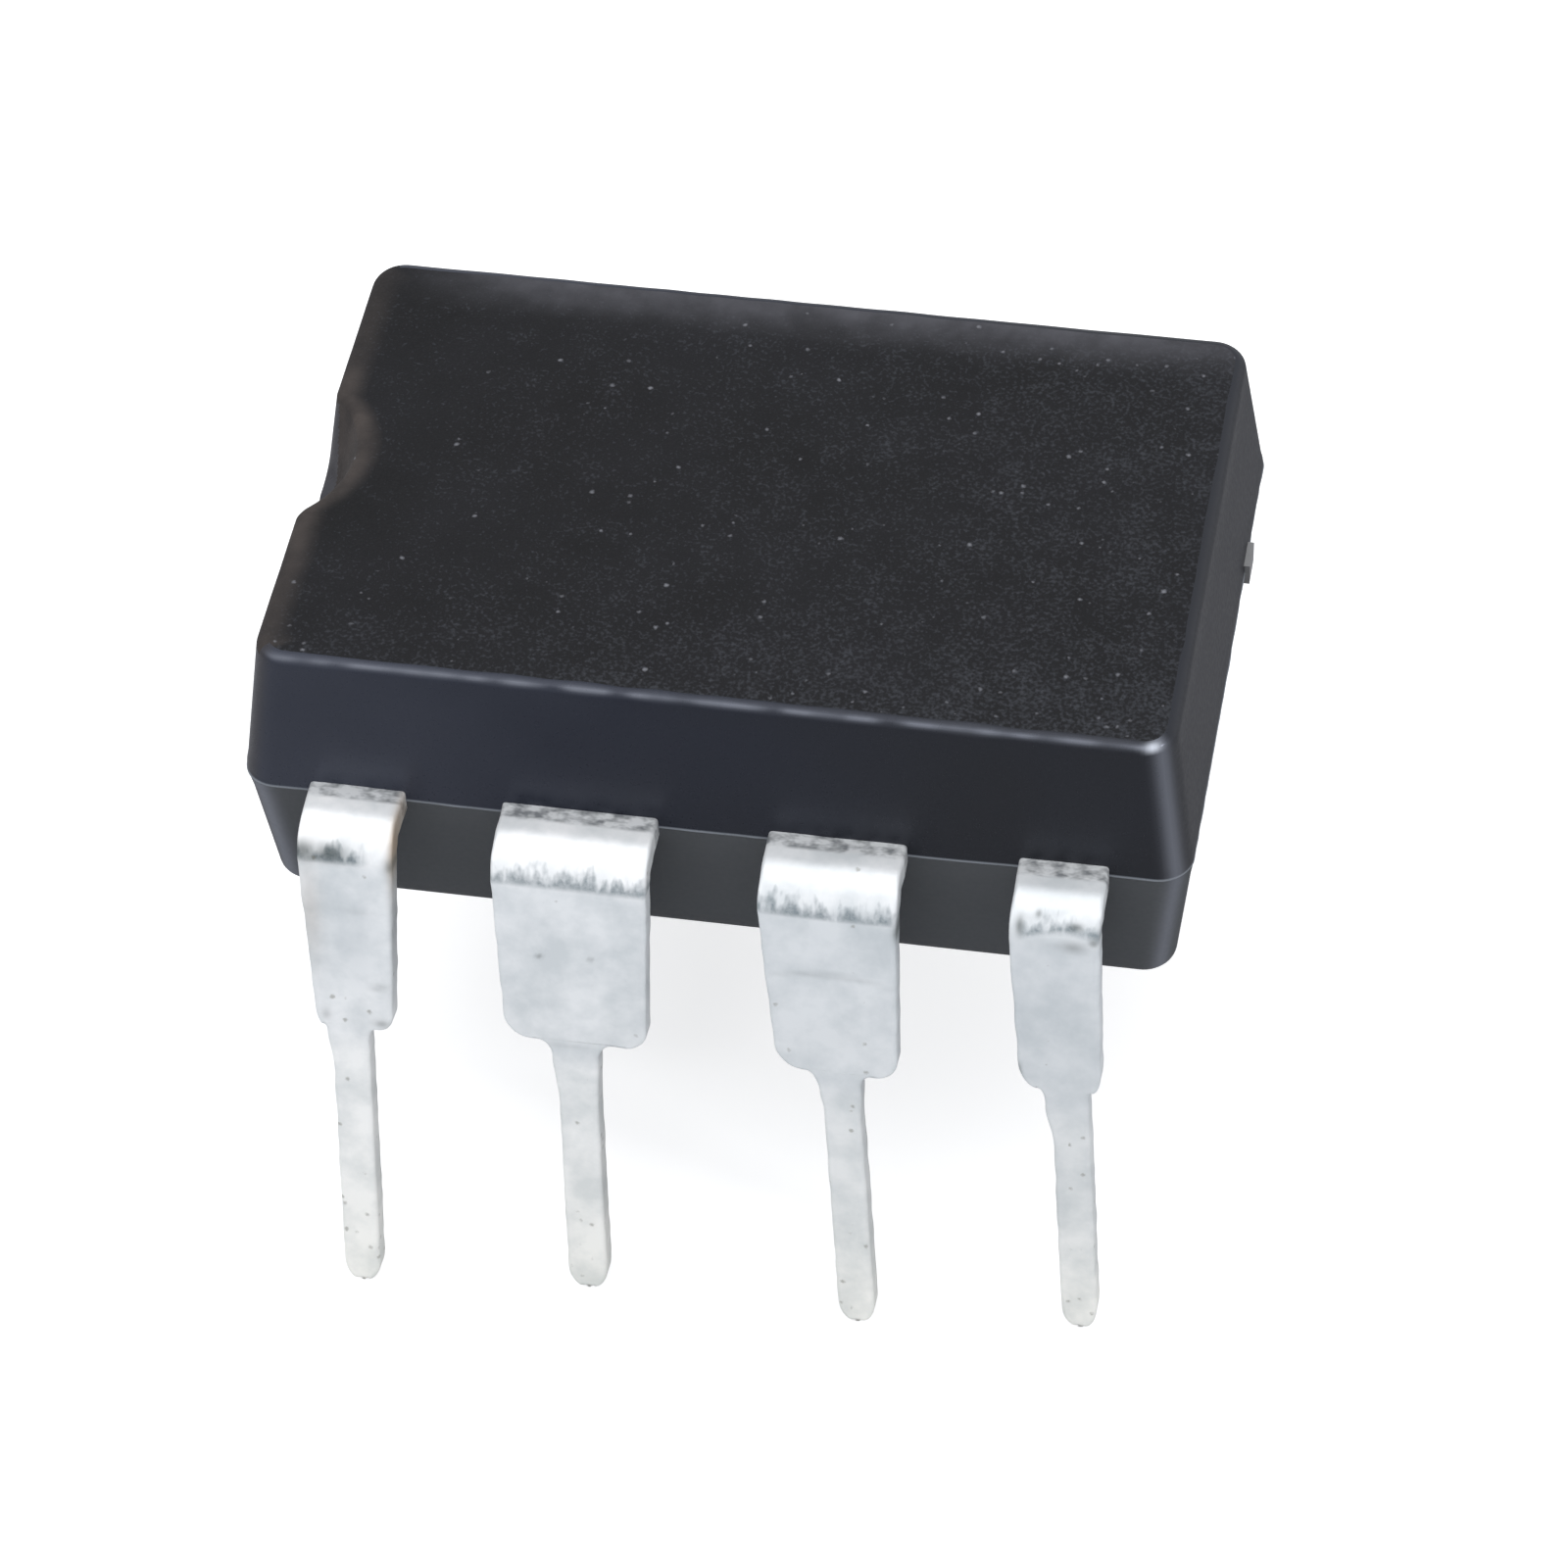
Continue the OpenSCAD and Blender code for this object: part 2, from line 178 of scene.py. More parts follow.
# single larger glints, their outlines broken up by fine noise
frayed = add("TexNoise", values={"Scale": perMillimetre / grain["raggedWidth"], "Detail": 1},
    links={"Vector": place})
fleck = add("TexVoronoi", values={"Scale": perMillimetre / grain["fleckWidth"]}, links={"Vector": place})
fleckDraw = add("SeparateColor", links={0: fleck.outputs["Color"]})
share = add("Math", timesPlus, values={1: 1.5, 2: 0.012}, links={0: denser})
chosen = add("Math", lessThan, links={0: fleckDraw, 1: share})
radius = add("MapRange", values={3: -0.06, 4: 0.2}, links={0: fleckDraw.outputs[1]})
frayedRadius = add("Math", timesPlus, values={1: 0.3}, links={0: frayed, 2: radius})
inside = add("Math", minus, links={0: frayedRadius, 1: fleck.outputs["Distance"]})
spot = add("MapRange", values={2: 0.26, 4: 0.75}, links={0: inside})
glint = add("Math", times, links={0: spot, 1: chosen})
base = add("ValToRGB", links={0: patch}, stops=[(0.3, "#0a0a0d"), (0.7, "#111115")])
grained = add("Mix", colourMix, values={7: toLinear("#383a3f")}, links={0: peppered, 6: base})
# painted sheen: the back rim is painted a lighter grey; the rim beside the notch is a browner one, both
# patchy
rimPatchiness = add("MapRange", values={1: 0.3, 2: 0.7, 3: 0.55, 4: 1.1}, links={0: cluster})
coloured = grained
for title, colour in {"backRim": "#4b4b50", "notchRim": "#403a37"}.items():
    rim = add("Attribute", {"attribute_name": title})
    tintShare = add("Math", {"operation": "MULTIPLY", "use_clamp": True},
        links={0: rim.outputs["Fac"], 1: rimPatchiness})
    coloured = add("Mix", colourMix, values={7: toLinear(colour)}, links={0: tintShare, 6: coloured.outputs[2]})
flecked = add("Mix", colourMix, values={7: toLinear("#7c7d83")}, links={0: glint, 6: coloured.outputs[2]})
rough = add("MapRange", values={1: 0.3, 2: 0.7, 3: 0.55, 4: 0.75}, links={0: fine})
height = add("Math", links={0: fine, 1: glint})
relief = add("Bump", values={"Strength": 0.9, "Distance": grain["depth"] * metre}, links={"Height": height})
linkInto(shader, {"Base Color": flecked.outputs[2], "Roughness": rough, "Normal": relief})

# The same compound on the drafted walls: the mould was polished there, so it has a soft gloss
wall = {"flowWidth": 2.6, "grainWidth": 0.05, "relief": 0.002, "frontFades": (-4.8, 3.0),
    "endStarts": (4.5, 4.65), "parting": 5.5}
polishedEpoxy, add, shader, place = newMaterial("polishedEpoxy",
    {"Specular IOR Level": 0.42, "Specular Tint": toLinear("#e6ebff")})
axes = add("SeparateXYZ", links={0: place})
flow = add("TexNoise", values={"Scale": perMillimetre / wall["flowWidth"], "Detail": 3},
    links={"Vector": place})
fine = add("TexNoise", values={"Scale": perMillimetre / wall["grainWidth"], "Detail": 2},
    links={"Vector": place})
# painted reflection: the walls' colour runs from a lighter blue-grey at the left end to near black at the
# right, unevenly
low, high = np.array(wall["frontFades"]) * metre
along = add("MapRange", values={1: low, 2: high}, links={0: axes.outputs["X"]})
uneven = add("MapRange", values={1: 0.3, 2: 0.7, 3: -0.12, 4: 0.12}, links={0: flow})
tone = add("Math", {"use_clamp": True}, links={0: along, 1: uneven})
paintedWallGradient = add("ValToRGB", links={0: tone}, stops=[(0.0, "#30333c"), (1.0, "#191a1c"), (0.45, "#1b1e27")])
# painted reflection and light: the lower half, below the parting line, and the right end wall are painted a
# lighter grey
lower = add("Math", lessThan, values={1: wall["parting"] * metre}, links={0: axes.outputs["Z"]})
low, high = np.array(wall["endStarts"]) * metre
farEnd = add("MapRange", values={1: low, 2: high}, links={0: axes.outputs["X"]})
paintedLighterEnd = add("Mix", colourMix, values={7: toLinear("#2b2b2c")}, links={0: farEnd, 6: paintedWallGradient})
coloured = add("Mix", colourMix, values={7: toLinear("#434546")}, links={0: lower, 6: paintedLighterEnd.outputs[2]})
# browner beside the notch, paler with painted highlight along the top edge and painted reflection on the
# front corners, grey on the flash, and pale with a painted glint near the front right corner
wearAndSheenColours = {"notchRim": "#2e2b2a", "rubbed": "#666971", "flash": "#7d8288", "chip": "#c8cdd6"}
for title, colour in wearAndSheenColours.items():
    tintShare = add("Attribute", {"attribute_name": title})
    coloured = add("Mix", colourMix, values={7: toLinear(colour)},
        links={0: tintShare.outputs["Fac"], 6: coloured.outputs[2]})
gloss = add("MapRange", values={1: 0.3, 2: 0.7, 3: 0.26, 4: 0.36}, links={0: fine})
duller = add("Math", timesPlus, values={1: 0.18}, links={0: lower, 2: gloss})
dullest = add("Math", timesPlus, values={1: 0.25}, links={0: farEnd, 2: duller})
# the rounded corner over the front right was burnished by handling
burnish = add("Attribute", {"attribute_name": "burnish"})
burnished = add("Mix", {"data_type": "FLOAT"}, values={3: 0.14},
    links={0: burnish.outputs["Fac"], 2: dullest})
relief = add("Bump", values={"Strength": 0.15, "Distance": wall["relief"] * metre}, links={"Height": fine})
linkInto(shader, {"Base Color": coloured.outputs[2], "Roughness": burnished, "Normal": relief})

# Dull electroplated tin over stamped strip: pale and cloudy, with painted reflection that makes it white
# round the bend and pale blue-grey on the shoulders, and crazed below the bend
tin = {"cloudWidth": 0.55, "grainWidth": 0.05, "crazeWidth": 0.12, "speckWidth": 0.13, "scuffWidth": 0.1,
    "relief": 0.003}
stripMap = {"across": 4.0, "along": 8.0}  # millimetres of the strip that its map's width and height cover
tinPlate, add, shader, place = newMaterial("dullTinPlate", {"Metallic": 0.3})
strip = add("SeparateXYZ", links={0: add("UVMap", {"uv_map": "strip"})})
# the middle of the strip's map is where the leg meets the bend
fromBend = add("Math", timesPlus, values={1: stripMap["along"], 2: -stripMap["along"] / 2},
    links={0: strip.outputs["Y"]})
cloud = add("TexNoise", values={"Scale": perMillimetre / tin["cloudWidth"], "Detail": 4, "Roughness": 0.6},
    links={"Vector": place})
fine = add("TexNoise", values={"Scale": perMillimetre / tin["grainWidth"], "Detail": 3, "Roughness": 0.7},
    links={"Vector": place})
# painted reflection: pins, shoulders and bend are painted different tones, white round the bend; value 0 at 6
# mm below the bend's lower end and 1 at 1 mm above it
zone = add("MapRange", values={1: -6.0, 2: 1.0}, links={0: fromBend})
paintedReflectionTone = add("ValToRGB", links={0: zone}, stops=[(0.0, "#fdfcf4"), (1.0, "#ffffff"), (0.3, "#fbfbf8"),
    (0.52, "#f7f8f7"), (0.56, "#f0f2f3"), (0.85, "#eef1f3"), (0.885, "#ffffff")])
cloudTone = add("ValToRGB", links={0: cloud}, stops=[(0.34, "#e6e9ea"), (0.62, "#ffffff")])
clouded = add("Mix", {"data_type": "RGBA", "blend_type": "MULTIPLY"}, values={0: 1.0},
    links={6: paintedReflectionTone, 7: cloudTone})
# painted shade: the strip is greyer on some leads, the front ones more so further to the right, and in a few
# tarnished spots
tarnish, craze, crazeAt, warm, stain = (add("Attribute", {"attribute_name": title}).outputs["Fac"]
    for title in ("tarnish", "craze", "crazeAt", "warm", "stain"))
tarnishedAndShaded = add("Mix", colourMix, values={7: toLinear("#aab4bb")}, links={0: tarnish, 6: clouded.outputs[2]})
# next to the body the strip is scuffed grey where the moulding's flash was cleaned off
nearBody = add("MapRange", smooth, values={1: 0.55, 2: 0.62}, links={0: fromBend})
scuffPlace = add("Mapping", values={"Scale": (0.6, 1.0, 1.0)}, links={0: place})
scuff = add("TexNoise", values={"Scale": perMillimetre / tin["scuffWidth"], "Detail": 2, "Roughness": 0.6},
    links={"Vector": scuffPlace})
scuffTone = add("ValToRGB", links={0: scuff}, stops=[(0.34, "#85888b"), (0.6, "#dfe1e2")])
scuffed = add("Mix", colourMix, links={0: nearBody, 6: tarnishedAndShaded.outputs[2], 7: scuffTone})
# crazing: strokes up the strip in a ragged band at the lower end of the bend, where the plating cracked; its
# dark blue-grey colour is partly painted reflection
strokePlace = add("Mapping", values={"Scale": (1.0, 0.45, 0.45)}, links={0: place})
stroke = add("TexNoise", values={"Scale": perMillimetre / tin["crazeWidth"], "Detail": 2, "Roughness": 0.6},
    links={"Vector": strokePlace})
fromCraze = add("Math", minus, links={0: fromBend, 1: crazeAt})
raggedTop = add("Math", timesPlus, values={1: 0.44, 2: -0.13}, links={0: stroke})
underTop = add("Math", minus, links={0: raggedTop, 1: fromCraze})
fading = add("MapRange", values={1: -0.02, 2: 0.1}, links={0: underTop})
below = add("MapRange", smooth, values={1: -0.07, 2: 0.0}, links={0: fromCraze})
band = add("Math", times, links={0: below, 1: fading})
broken = add("MapRange", values={1: 0.34, 2: 0.62, 3: 0.7, 4: 1.0}, links={0: fine})
bandBroken = add("Math", times, links={0: band, 1: broken})
fromLine = add("Math", {"operation": "ABSOLUTE"}, links={0: fromCraze})
crazeLine = add("MapRange", smooth, values={1: 0.055, 2: 0.0, 4: 0.75}, links={0: fromLine})
linePatchy = add("MapRange", values={1: 0.36, 2: 0.56, 3: 0.25, 4: 1.0}, links={0: stroke})
lineBroken = add("Math", times, links={0: crazeLine, 1: linePatchy})
bandAndLine = add("Math", {"operation": "MAXIMUM"}, links={0: bandBroken, 1: lineBroken})
crazed = add("Math", times, links={0: bandAndLine, 1: craze})
crazeAndDarkReflection = add("Mix", colourMix, values={7: toLinear("#5a6b73")}, links={0: crazed, 6: scuffed.outputs[2]})
# dark specks, and the marks that are painted on each lead: stains, and painted shade along the right side
# walls of the pins and shoulders and in a crease
speck = add("TexVoronoi", values={"Scale": perMillimetre / tin["speckWidth"]}, links={"Vector": place})
speckDraw = add("SeparateColor", links={0: speck.outputs["Color"]})
speckShare = add("MapRange", values={1: -1.2, 2: -4.5, 3: 0.05, 4: 0.4}, links={0: fromBend})
speckChosen = add("Math", lessThan, links={0: speckDraw, 1: speckShare})
speckReach = add("Math", times, values={1: 0.5}, links={0: fine})
speckInside = add("Math", minus, links={0: speckReach, 1: speck.outputs["Distance"]})
speckSpot = add("MapRange", values={2: 0.16, 4: 0.55}, links={0: speckInside})
speckMask = add("Math", times, links={0: speckSpot, 1: speckChosen})
coloured = crazeAndDarkReflection
for mask, colour in ((speckMask, "#827f74"), (warm, "#a07f50"), (stain, "#4d5452")):
    coloured = add("Mix", colourMix, values={7: toLinear(colour)}, links={0: mask, 6: coloured.outputs[2]})
dull = add("MapRange", values={1: 0.3, 2: 0.7, 3: 0.34, 4: 0.48}, links={0: cloud})
duller = add("Math", timesPlus, values={1: 0.2}, links={0: crazed, 2: dull})
height = add("Math", timesPlus, values={1: 2.0}, links={0: crazed, 2: fine})
relief = add("Bump", values={"Strength": 0.3, "Distance": tin["relief"] * metre}, links={"Height": height})
linkInto(shader, {"Base Color": coloured.outputs[2], "Roughness": duller, "Normal": relief})

# Stamped copper alloy lead frame, bare inside the body: rolled, so it is satin with faint lines,
# and grey where the tie bars were sheared off at the body's ends
frameStrip = {"lineWidth": 0.03, "relief": 0.001, "shearedFrom": 4.65}
bareCopper, add, shader, place = newMaterial("rolledCopperAlloy", {"Metallic": 1.0})
rolled = add("Mapping", values={"Scale": (0.08, 1.0, 1.0)}, links={0: place})
lines = add("TexNoise", values={"Scale": perMillimetre / frameStrip["lineWidth"], "Detail": 3},
    links={"Vector": rolled})
copper = add("ValToRGB", links={0: lines}, stops=[(0.3, "#8f6a52"), (0.7, "#b98a6a")])
axes = add("SeparateXYZ", links={0: place})
fromMiddle = add("Math", {"operation": "ABSOLUTE"}, links={0: axes.outputs["X"]})
sheared = add("Math", {"operation": "GREATER_THAN"}, values={1: frameStrip["shearedFrom"] * metre},
    links={0: fromMiddle})
endTone = add("Mix", colourMix, values={7: toLinear("#9c9c9c")}, links={0: sheared, 6: copper})
satin = add("MapRange", values={3: 0.3, 4: 0.45}, links={0: lines})
relief = add("Bump", values={"Strength": 0.3, "Distance": frameStrip["relief"] * metre},
    links={"Height": lines})
linkInto(shader, {"Base Color": endTone.outputs[2], "Roughness": satin, "Normal": relief})

# Silver-filled die adhesive: cured paste, grainy and half metallic
silverPaste, add, shader, place = newMaterial("silverFilledAdhesive", {"Metallic": 0.5, "Roughness": 0.55})
flakes = add("TexVoronoi", values={"Scale": perMillimetre / 0.02}, links={"Vector": place})
paste = add("ValToRGB", links={0: flakes.outputs["Distance"]}, stops=[(0.1, "#b5b5b2"), (0.7, "#8b8b88")])
linkInto(shader, {"Base Color": paste})

# Silicon die: polished wafer with a grid of circuit blocks under its glass layer
silicon, add, shader, place = newMaterial("passivatedSilicon", {"Metallic": 0.6, "Roughness": 0.15})
blocks = add("TexBrick", {"offset": 0.5, "squash": 0.6}, links={"Vector": place},
    values={"Color1": toLinear("#5f6a7c"), "Color2": toLinear("#3c4657"), "Mortar": toLinear("#8d8463"),
    "Scale": perMillimetre / 0.6, "Mortar Size": 0.02})
linkInto(shader, {"Base Color": blocks})

# Drawn gold wire: soft bright metal with faint draw lines
goldWire, add, shader, place = newMaterial("drawnGold", {"Metallic": 1.0})
drawn = add("TexNoise", values={"Scale": perMillimetre / 0.02, "Detail": 2}, links={"Vector": place})
gold = add("ValToRGB", links={0: drawn}, stops=[(0.3, "#d9a84a"), (0.7, "#efc56c")])
softened = add("MapRange", values={3: 0.18, 4: 0.32}, links={0: drawn})
linkInto(shader, {"Base Color": gold, "Roughness": softened})

hiddenFinishes = {f"bond_wire_{k}": goldWire for k in range(1, 9)}
hiddenFinishes.update({"die_paddle": bareCopper, "die_attach": silverPaste, "silicon_die": silicon})
for nodeName, finish in hiddenFinishes.items():
    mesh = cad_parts[nodeName].data
    mesh.materials.clear()
    mesh.materials.append(finish)
print("stage 2: finishes made")

# The moulded body
body = {
    "length": 9.6, "width": 6.35, "parting": 5.5, "top": 7.15, "bottom": 3.9, "upperDraft": 7.0,
    "lowerDraft": 6.0, "band": 0.03, "corner": 0.35, "topEdge": 0.12, "bottomEdge": 0.15, "notchWidth": 1.8,
    "notchReach": 0.4, "notchDrop": 0.95, "notchDraft": 17.0, "notchFillet": 0.3, "notchRim": 0.08,
    "notchBlend": 0.09, "flashReach": 0.014, "flashHeight": 0.016, "flashWave": 0.012, "halfShift": 0.008,
    "markDiameter": 1.5, "markDepth": 0.05, "markOffset": 2.8, "flashClear": 0.08, "wallClear": 0.09,
}
# where the body is worn, and where a painted sheen and a painted glint lie on it: middle, spread and strength
# of each bell and the ends of the front's and notch's fades are in degrees of the way its outline faces, and
# the back's fades and reach, the noise's width and the notch's half width in millimetres
wearAndSheen = {
    "sheenRight": (308, 16, 0.75), "sheenLeft": (240, 22, 0.9), "burnished": (312, 22, 1.0),
    "glintSpot": (294, 13, 1.0), "frontFades": (218, 262, 300, 330), "notchFades": (112, 140, 222, 250),
    "backFades": (-4.7, -2.6, 3.0, 4.7), "backReach": 0.75, "sheenNoise": 0.4, "edgeNoise": 0.06,
    "notchHalf": 1.1, "wallDraft": 7.2, "lowerDraft": 6.2,
}


def wearBell(degrees, title):
    # strength times exp(-((degrees - middle) / spread)^2)
    middle, spread, strength = wearAndSheen[title]
    return strength * np.exp(-((degrees - middle) / spread) ** 2)


def wearFade(value, title):
    # up from 0 to 1 between the first two ends and down again between the last two
    first, second, third, fourth = wearAndSheen[title]
    return smoothStep(first, second, value) * (1 - smoothStep(third, fourth, value))


def bodyColumns():
    # round the outline anticlockwise from above: ux and uy place the corner's middle, and turn is the way
    # the wall faces
    longSide = np.linspace(-1, 1, 141)[:-1]
    rightSide = np.linspace(-1, 1, 41)[:-1]
    core = np.linspace(-0.5, 0.5, 141)
    leftSide = np.concatenate([np.linspace(-1, -0.5, 13)[:-1], core, np.linspace(0.5, 1, 13)[1:-1]])
    quarter = np.radians(np.linspace(0, 90, 13)[:-1])
    one = np.ones
    ux = np.concatenate([one(52), -longSide, -one(24 + leftSide.size), longSide, one(12)])
    uy = np.concatenate([rightSide, one(164), -leftSide, -one(164)])
    turn = np.concatenate([np.zeros(40), quarter, np.full(140, np.pi / 2), quarter + np.pi / 2,
        np.full(leftSide.size, np.pi), quarter + np.pi, np.full(140, 1.5 * np.pi), quarter + 1.5 * np.pi])
    return ux, uy, turn


def wallInset(z):
    # how far the wall leans in from the parting line at a height, nought over the upright band there
    tall = body["top"] - body["topEdge"] - body["parting"]
    deep = body["parting"] - body["bottom"] - body["bottomEdge"]
    upSlope = tall * np.tan(np.radians(body["upperDraft"])) / (tall - body["band"])
    downSlope = deep * np.tan(np.radians(body["lowerDraft"])) / (deep - body["band"])
    rise = z - body["parting"]
    return np.where(rise > 0, np.maximum(rise - body["band"], 0) * upSlope,
        np.maximum(-rise - body["band"], 0) * downSlope)


notchRadius = ((body["notchWidth"] / 2) ** 2 + body["notchReach"] ** 2) / (2 * body["notchReach"])
topHalfLength = body["length"] / 2 - (body["top"] - body["parting"]) * np.tan(np.radians(body["upperDraft"]))
notchMiddle = body["notchReach"] - notchRadius - topHalfLength
notchFloor = body["top"] - body["notchDrop"]
notchSlope = np.tan(np.radians(body["notchDraft"]))
filletMiddle = notchRadius - (body["notchDrop"] - body["notchFillet"]) * notchSlope
filletMiddle -= body["notchFillet"] / np.cos(np.radians(body["notchDraft"]))
filletTop = notchFloor + body["notchFillet"] * (1 - np.sin(np.radians(body["notchDraft"])))


def notchReachAt(z):
    # radius of the notch at a height: a quarter round up from its floor, then the drafted wall
    drop = np.clip((notchFloor + body["notchFillet"] - z) / body["notchFillet"], -1, 1)
    fillet = filletMiddle + body["notchFillet"] * np.sqrt(np.maximum(1 - drop ** 2, 0))
    straight = notchRadius - (body["top"] - z) * notchSlope
    return np.where(z < notchFloor, 0, np.where(z < filletTop, fillet, straight))


def bodyOutline(z, columns):
    # a rounded rectangle at the height, whose left end is pushed in to xm + sqrt(r^2 - y^2) by the notch
    ux, uy, turn = columns
    inset = wallInset(z)
    halfLong = body["length"] / 2 - inset
    halfWide = body["width"] / 2 - inset
    x = ux * (halfLong - body["corner"]) + body["corner"] * np.cos(turn)
    y = uy * (halfWide - body["corner"]) + body["corner"] * np.sin(turn)
    reach = notchReachAt(z)
    cut = notchMiddle + np.sqrt(np.maximum(reach ** 2 - y ** 2, 0))
    atEnd = (ux < -0.999) & (np.abs(uy) < 0.999) & (np.abs(y) < reach)
    blend = body["notchBlend"]
    closeness = np.maximum(blend - np.abs(cut - x), 0) / blend
    notched = np.maximum(cut, x) + closeness ** 2 * blend / 4
    return np.where(atEnd, notched, x), y


def outwardNormals(x, y):
    # each row's outline turned a quarter clockwise from its direction of travel
    dx = np.roll(x, -1, axis=1) - np.roll(x, 1, axis=1)
    dy = np.roll(y, -1, axis=1) - np.roll(y, 1, axis=1)
    size = np.hypot(dx, dy)
    return dy / size, -dx / size


def bodyRows():
    # rows of points from the underside's rim up the walls to the middle of the top face
    columns = bodyColumns()
    ux, uy, turn = columns
    count = ux.size
    topX, topY = bodyOutline(np.full((1, count), body["top"] - body["notchRim"]), columns)
    besideNotch = (ux < -0.999) & (np.abs(topY[0]) < wearAndSheen["notchHalf"])
    inNotch = smoothStep(0.0, 0.06, topX[0] + topHalfLength) * besideNotch
    halfLong, halfWide = 4.6, 3.0
    travel = np.arctan2(topY[0] / halfWide, topX[0] / halfLong)
    edgeNoise = waveNoise(11, np.cos(travel) * halfLong, np.sin(travel) * halfWide, 0.5)
    edge = body["topEdge"] * (1 - inNotch) + body["notchRim"] * inNotch
    edge = edge * (1 + wearAndSheen["edgeNoise"] * edgeNoise)
    draft = np.radians(wearAndSheen["wallDraft"] * (1 - inNotch) + body["notchDraft"] * inNotch)
    wallTop = body["top"] - edge * (1 - np.sin(draft))
    wave = body["flashWave"] * waveNoise(23, topX[0], topY[0], 2.2)
    ragged = 0.75 + 0.3 * waveNoise(29, topX[0], topY[0], 0.35)
    lowerDraft = np.radians(wearAndSheen["lowerDraft"])
    wallBottom = body["bottom"] + body["bottomEdge"] * (1 - np.sin(lowerDraft))
    xs, ys, zs, rounded = [], [], [], []
    level = np.ones(count)
    tints = {"flash": [], "rubbed": [], "notchRim": [], "backRim": [], "burnish": [], "chip": []}

    # painted reflection: the corner at the front right is painted lighter all the way up, the one at the
    # front left only below the parting
    degrees = np.degrees(turn)
    atFrontRight = wearBell(degrees, "sheenRight") * (ux > 0.99)
    atFrontLeft = wearBell(degrees, "sheenLeft") * (ux < -0.99)
    cornerBell = wearBell(degrees, "burnished") * (ux > 0.99)
    # painted glint: a pale spot on the top edge's round near the front right corner
    glintBell = wearBell(degrees, "glintSpot") * (ux > 0.99)
    alongFront = wearFade(degrees, "frontFades")
    alongNotch = wearFade(degrees, "notchFades")
    topHalfWidth = body["width"] / 2 - body["length"] / 2 + topHalfLength

    def addRow(x, y, z, isFlash=0.0, isTop=0.0, edgeSheen=0.0, notch=0.8, rim=0.0, chip=0.0):
        xs.append(np.ravel(x))
        ys.append(np.ravel(y))
        zs.append(np.ravel(z) * level)
        isLow = np.ravel(z) < body["parting"] - 0.02
        tints["flash"].append(isFlash * level)
        tints["rubbed"].append(np.maximum(atFrontRight + atFrontLeft * isLow, edgeSheen * alongFront))
        lengthways, across = np.ravel(x), np.ravel(y)
        outside = smoothStep(0.9, 1.5, np.abs(across)) * np.where(across > 0, 0.6, 0.25)
        tints["notchRim"].append(notch * alongNotch * (1 - outside))
        leftEnd, leftFull, rightFull, rightEnd = wearAndSheen["backFades"]
        along = smoothStep(leftEnd, leftFull, lengthways)
        along = along * (1 - 0.5 * smoothStep(rightFull, rightEnd, lengthways))
        tints["backRim"].append(rim * along * (1 - smoothStep(0.0, wearAndSheen["backReach"], topHalfWidth - across)))
        tints["burnish"].append(np.mean(edgeSheen) * cornerBell)
        tints["chip"].append(chip * glintBell)
        rounded.append(isTop)

    baseX, baseY = bodyOutline(np.full((1, count), wallBottom), columns)
    baseNx, baseNy = outwardNormals(baseX, baseY)
    for t in np.linspace(np.pi / 2, lowerDraft, 8):
        back = body["bottomEdge"] * (np.cos(lowerDraft) - np.cos(t))
        shift = back + body["halfShift"]
        addRow(baseX - baseNx * shift, baseY - baseNy * shift,
            body["bottom"] + body["bottomEdge"] * (1 - np.sin(t)))
    for share in np.linspace(0, 1, 12)[1:-1]:
        z = wallBottom + share * (body["parting"] - body["wallClear"] + wave - wallBottom)
        x, y = bodyOutline(z[None, :], columns)
        nx, ny = outwardNormals(x, y)
        addRow(x - nx * body["halfShift"], y - ny * body["halfShift"], z)
    height, clear = body["flashHeight"], body["flashClear"]
    # rise from the parting line, share of the flash's reach, tint, and 1 for the lower half of the mould
    flashRows = (
        (-clear, 0, 0, 1), (-1.6 * height, 0, 0, 1), (-0.8 * height, 0.55, 0.7, 1), (-0.25 * height, 1, 1, 1),
        (0.25 * height, 1, 1, 0), (0.8 * height, 0.55, 0.7, 0), (1.6 * height, 0, 0, 0), (clear, 0, 0, 0),
    )
    for rise, proud, isFlash, side in flashRows:
        z = body["parting"] + rise + wave
        x, y = bodyOutline(np.full((1, count), body["parting"]), columns)
        nx, ny = outwardNormals(x, y)
        out = proud * body["flashReach"] * ragged - side * body["halfShift"]
        addRow(x + nx * out, y + ny * out, z, isFlash)
    # rows up to the notch's floor, up its round and up its wall
    wallStart = body["parting"] + body["wallClear"] + wave
    slants = np.radians(np.linspace(-90, -body["notchDraft"], 12))
    heights = [wallStart + share * (notchFloor - 0.02 - wallStart) for share in np.linspace(0, 1, 8)[1:-1]]
    heights += [notchFloor + body["notchFillet"] * (1 + np.sin(slant)) for slant in slants]
    heights += [filletTop + share * (wallTop - filletTop) for share in np.linspace(0, 1, 15)[1:]]
    for z in heights:
        x, y = bodyOutline(np.broadcast_to(z, (1, count)), columns)
        addRow(x, y, z)
    crestX, crestY = bodyOutline(wallTop[None, :], columns)
    crestNx, crestNy = outwardNormals(crestX, crestY)
    for share in np.linspace(0, 1, 10)[1:]:
        t = draft + share * (np.pi / 2 - draft)
        back = edge * (np.cos(draft) - np.cos(t))
        rimX, rimY = crestX - crestNx * back, crestY - crestNy * back
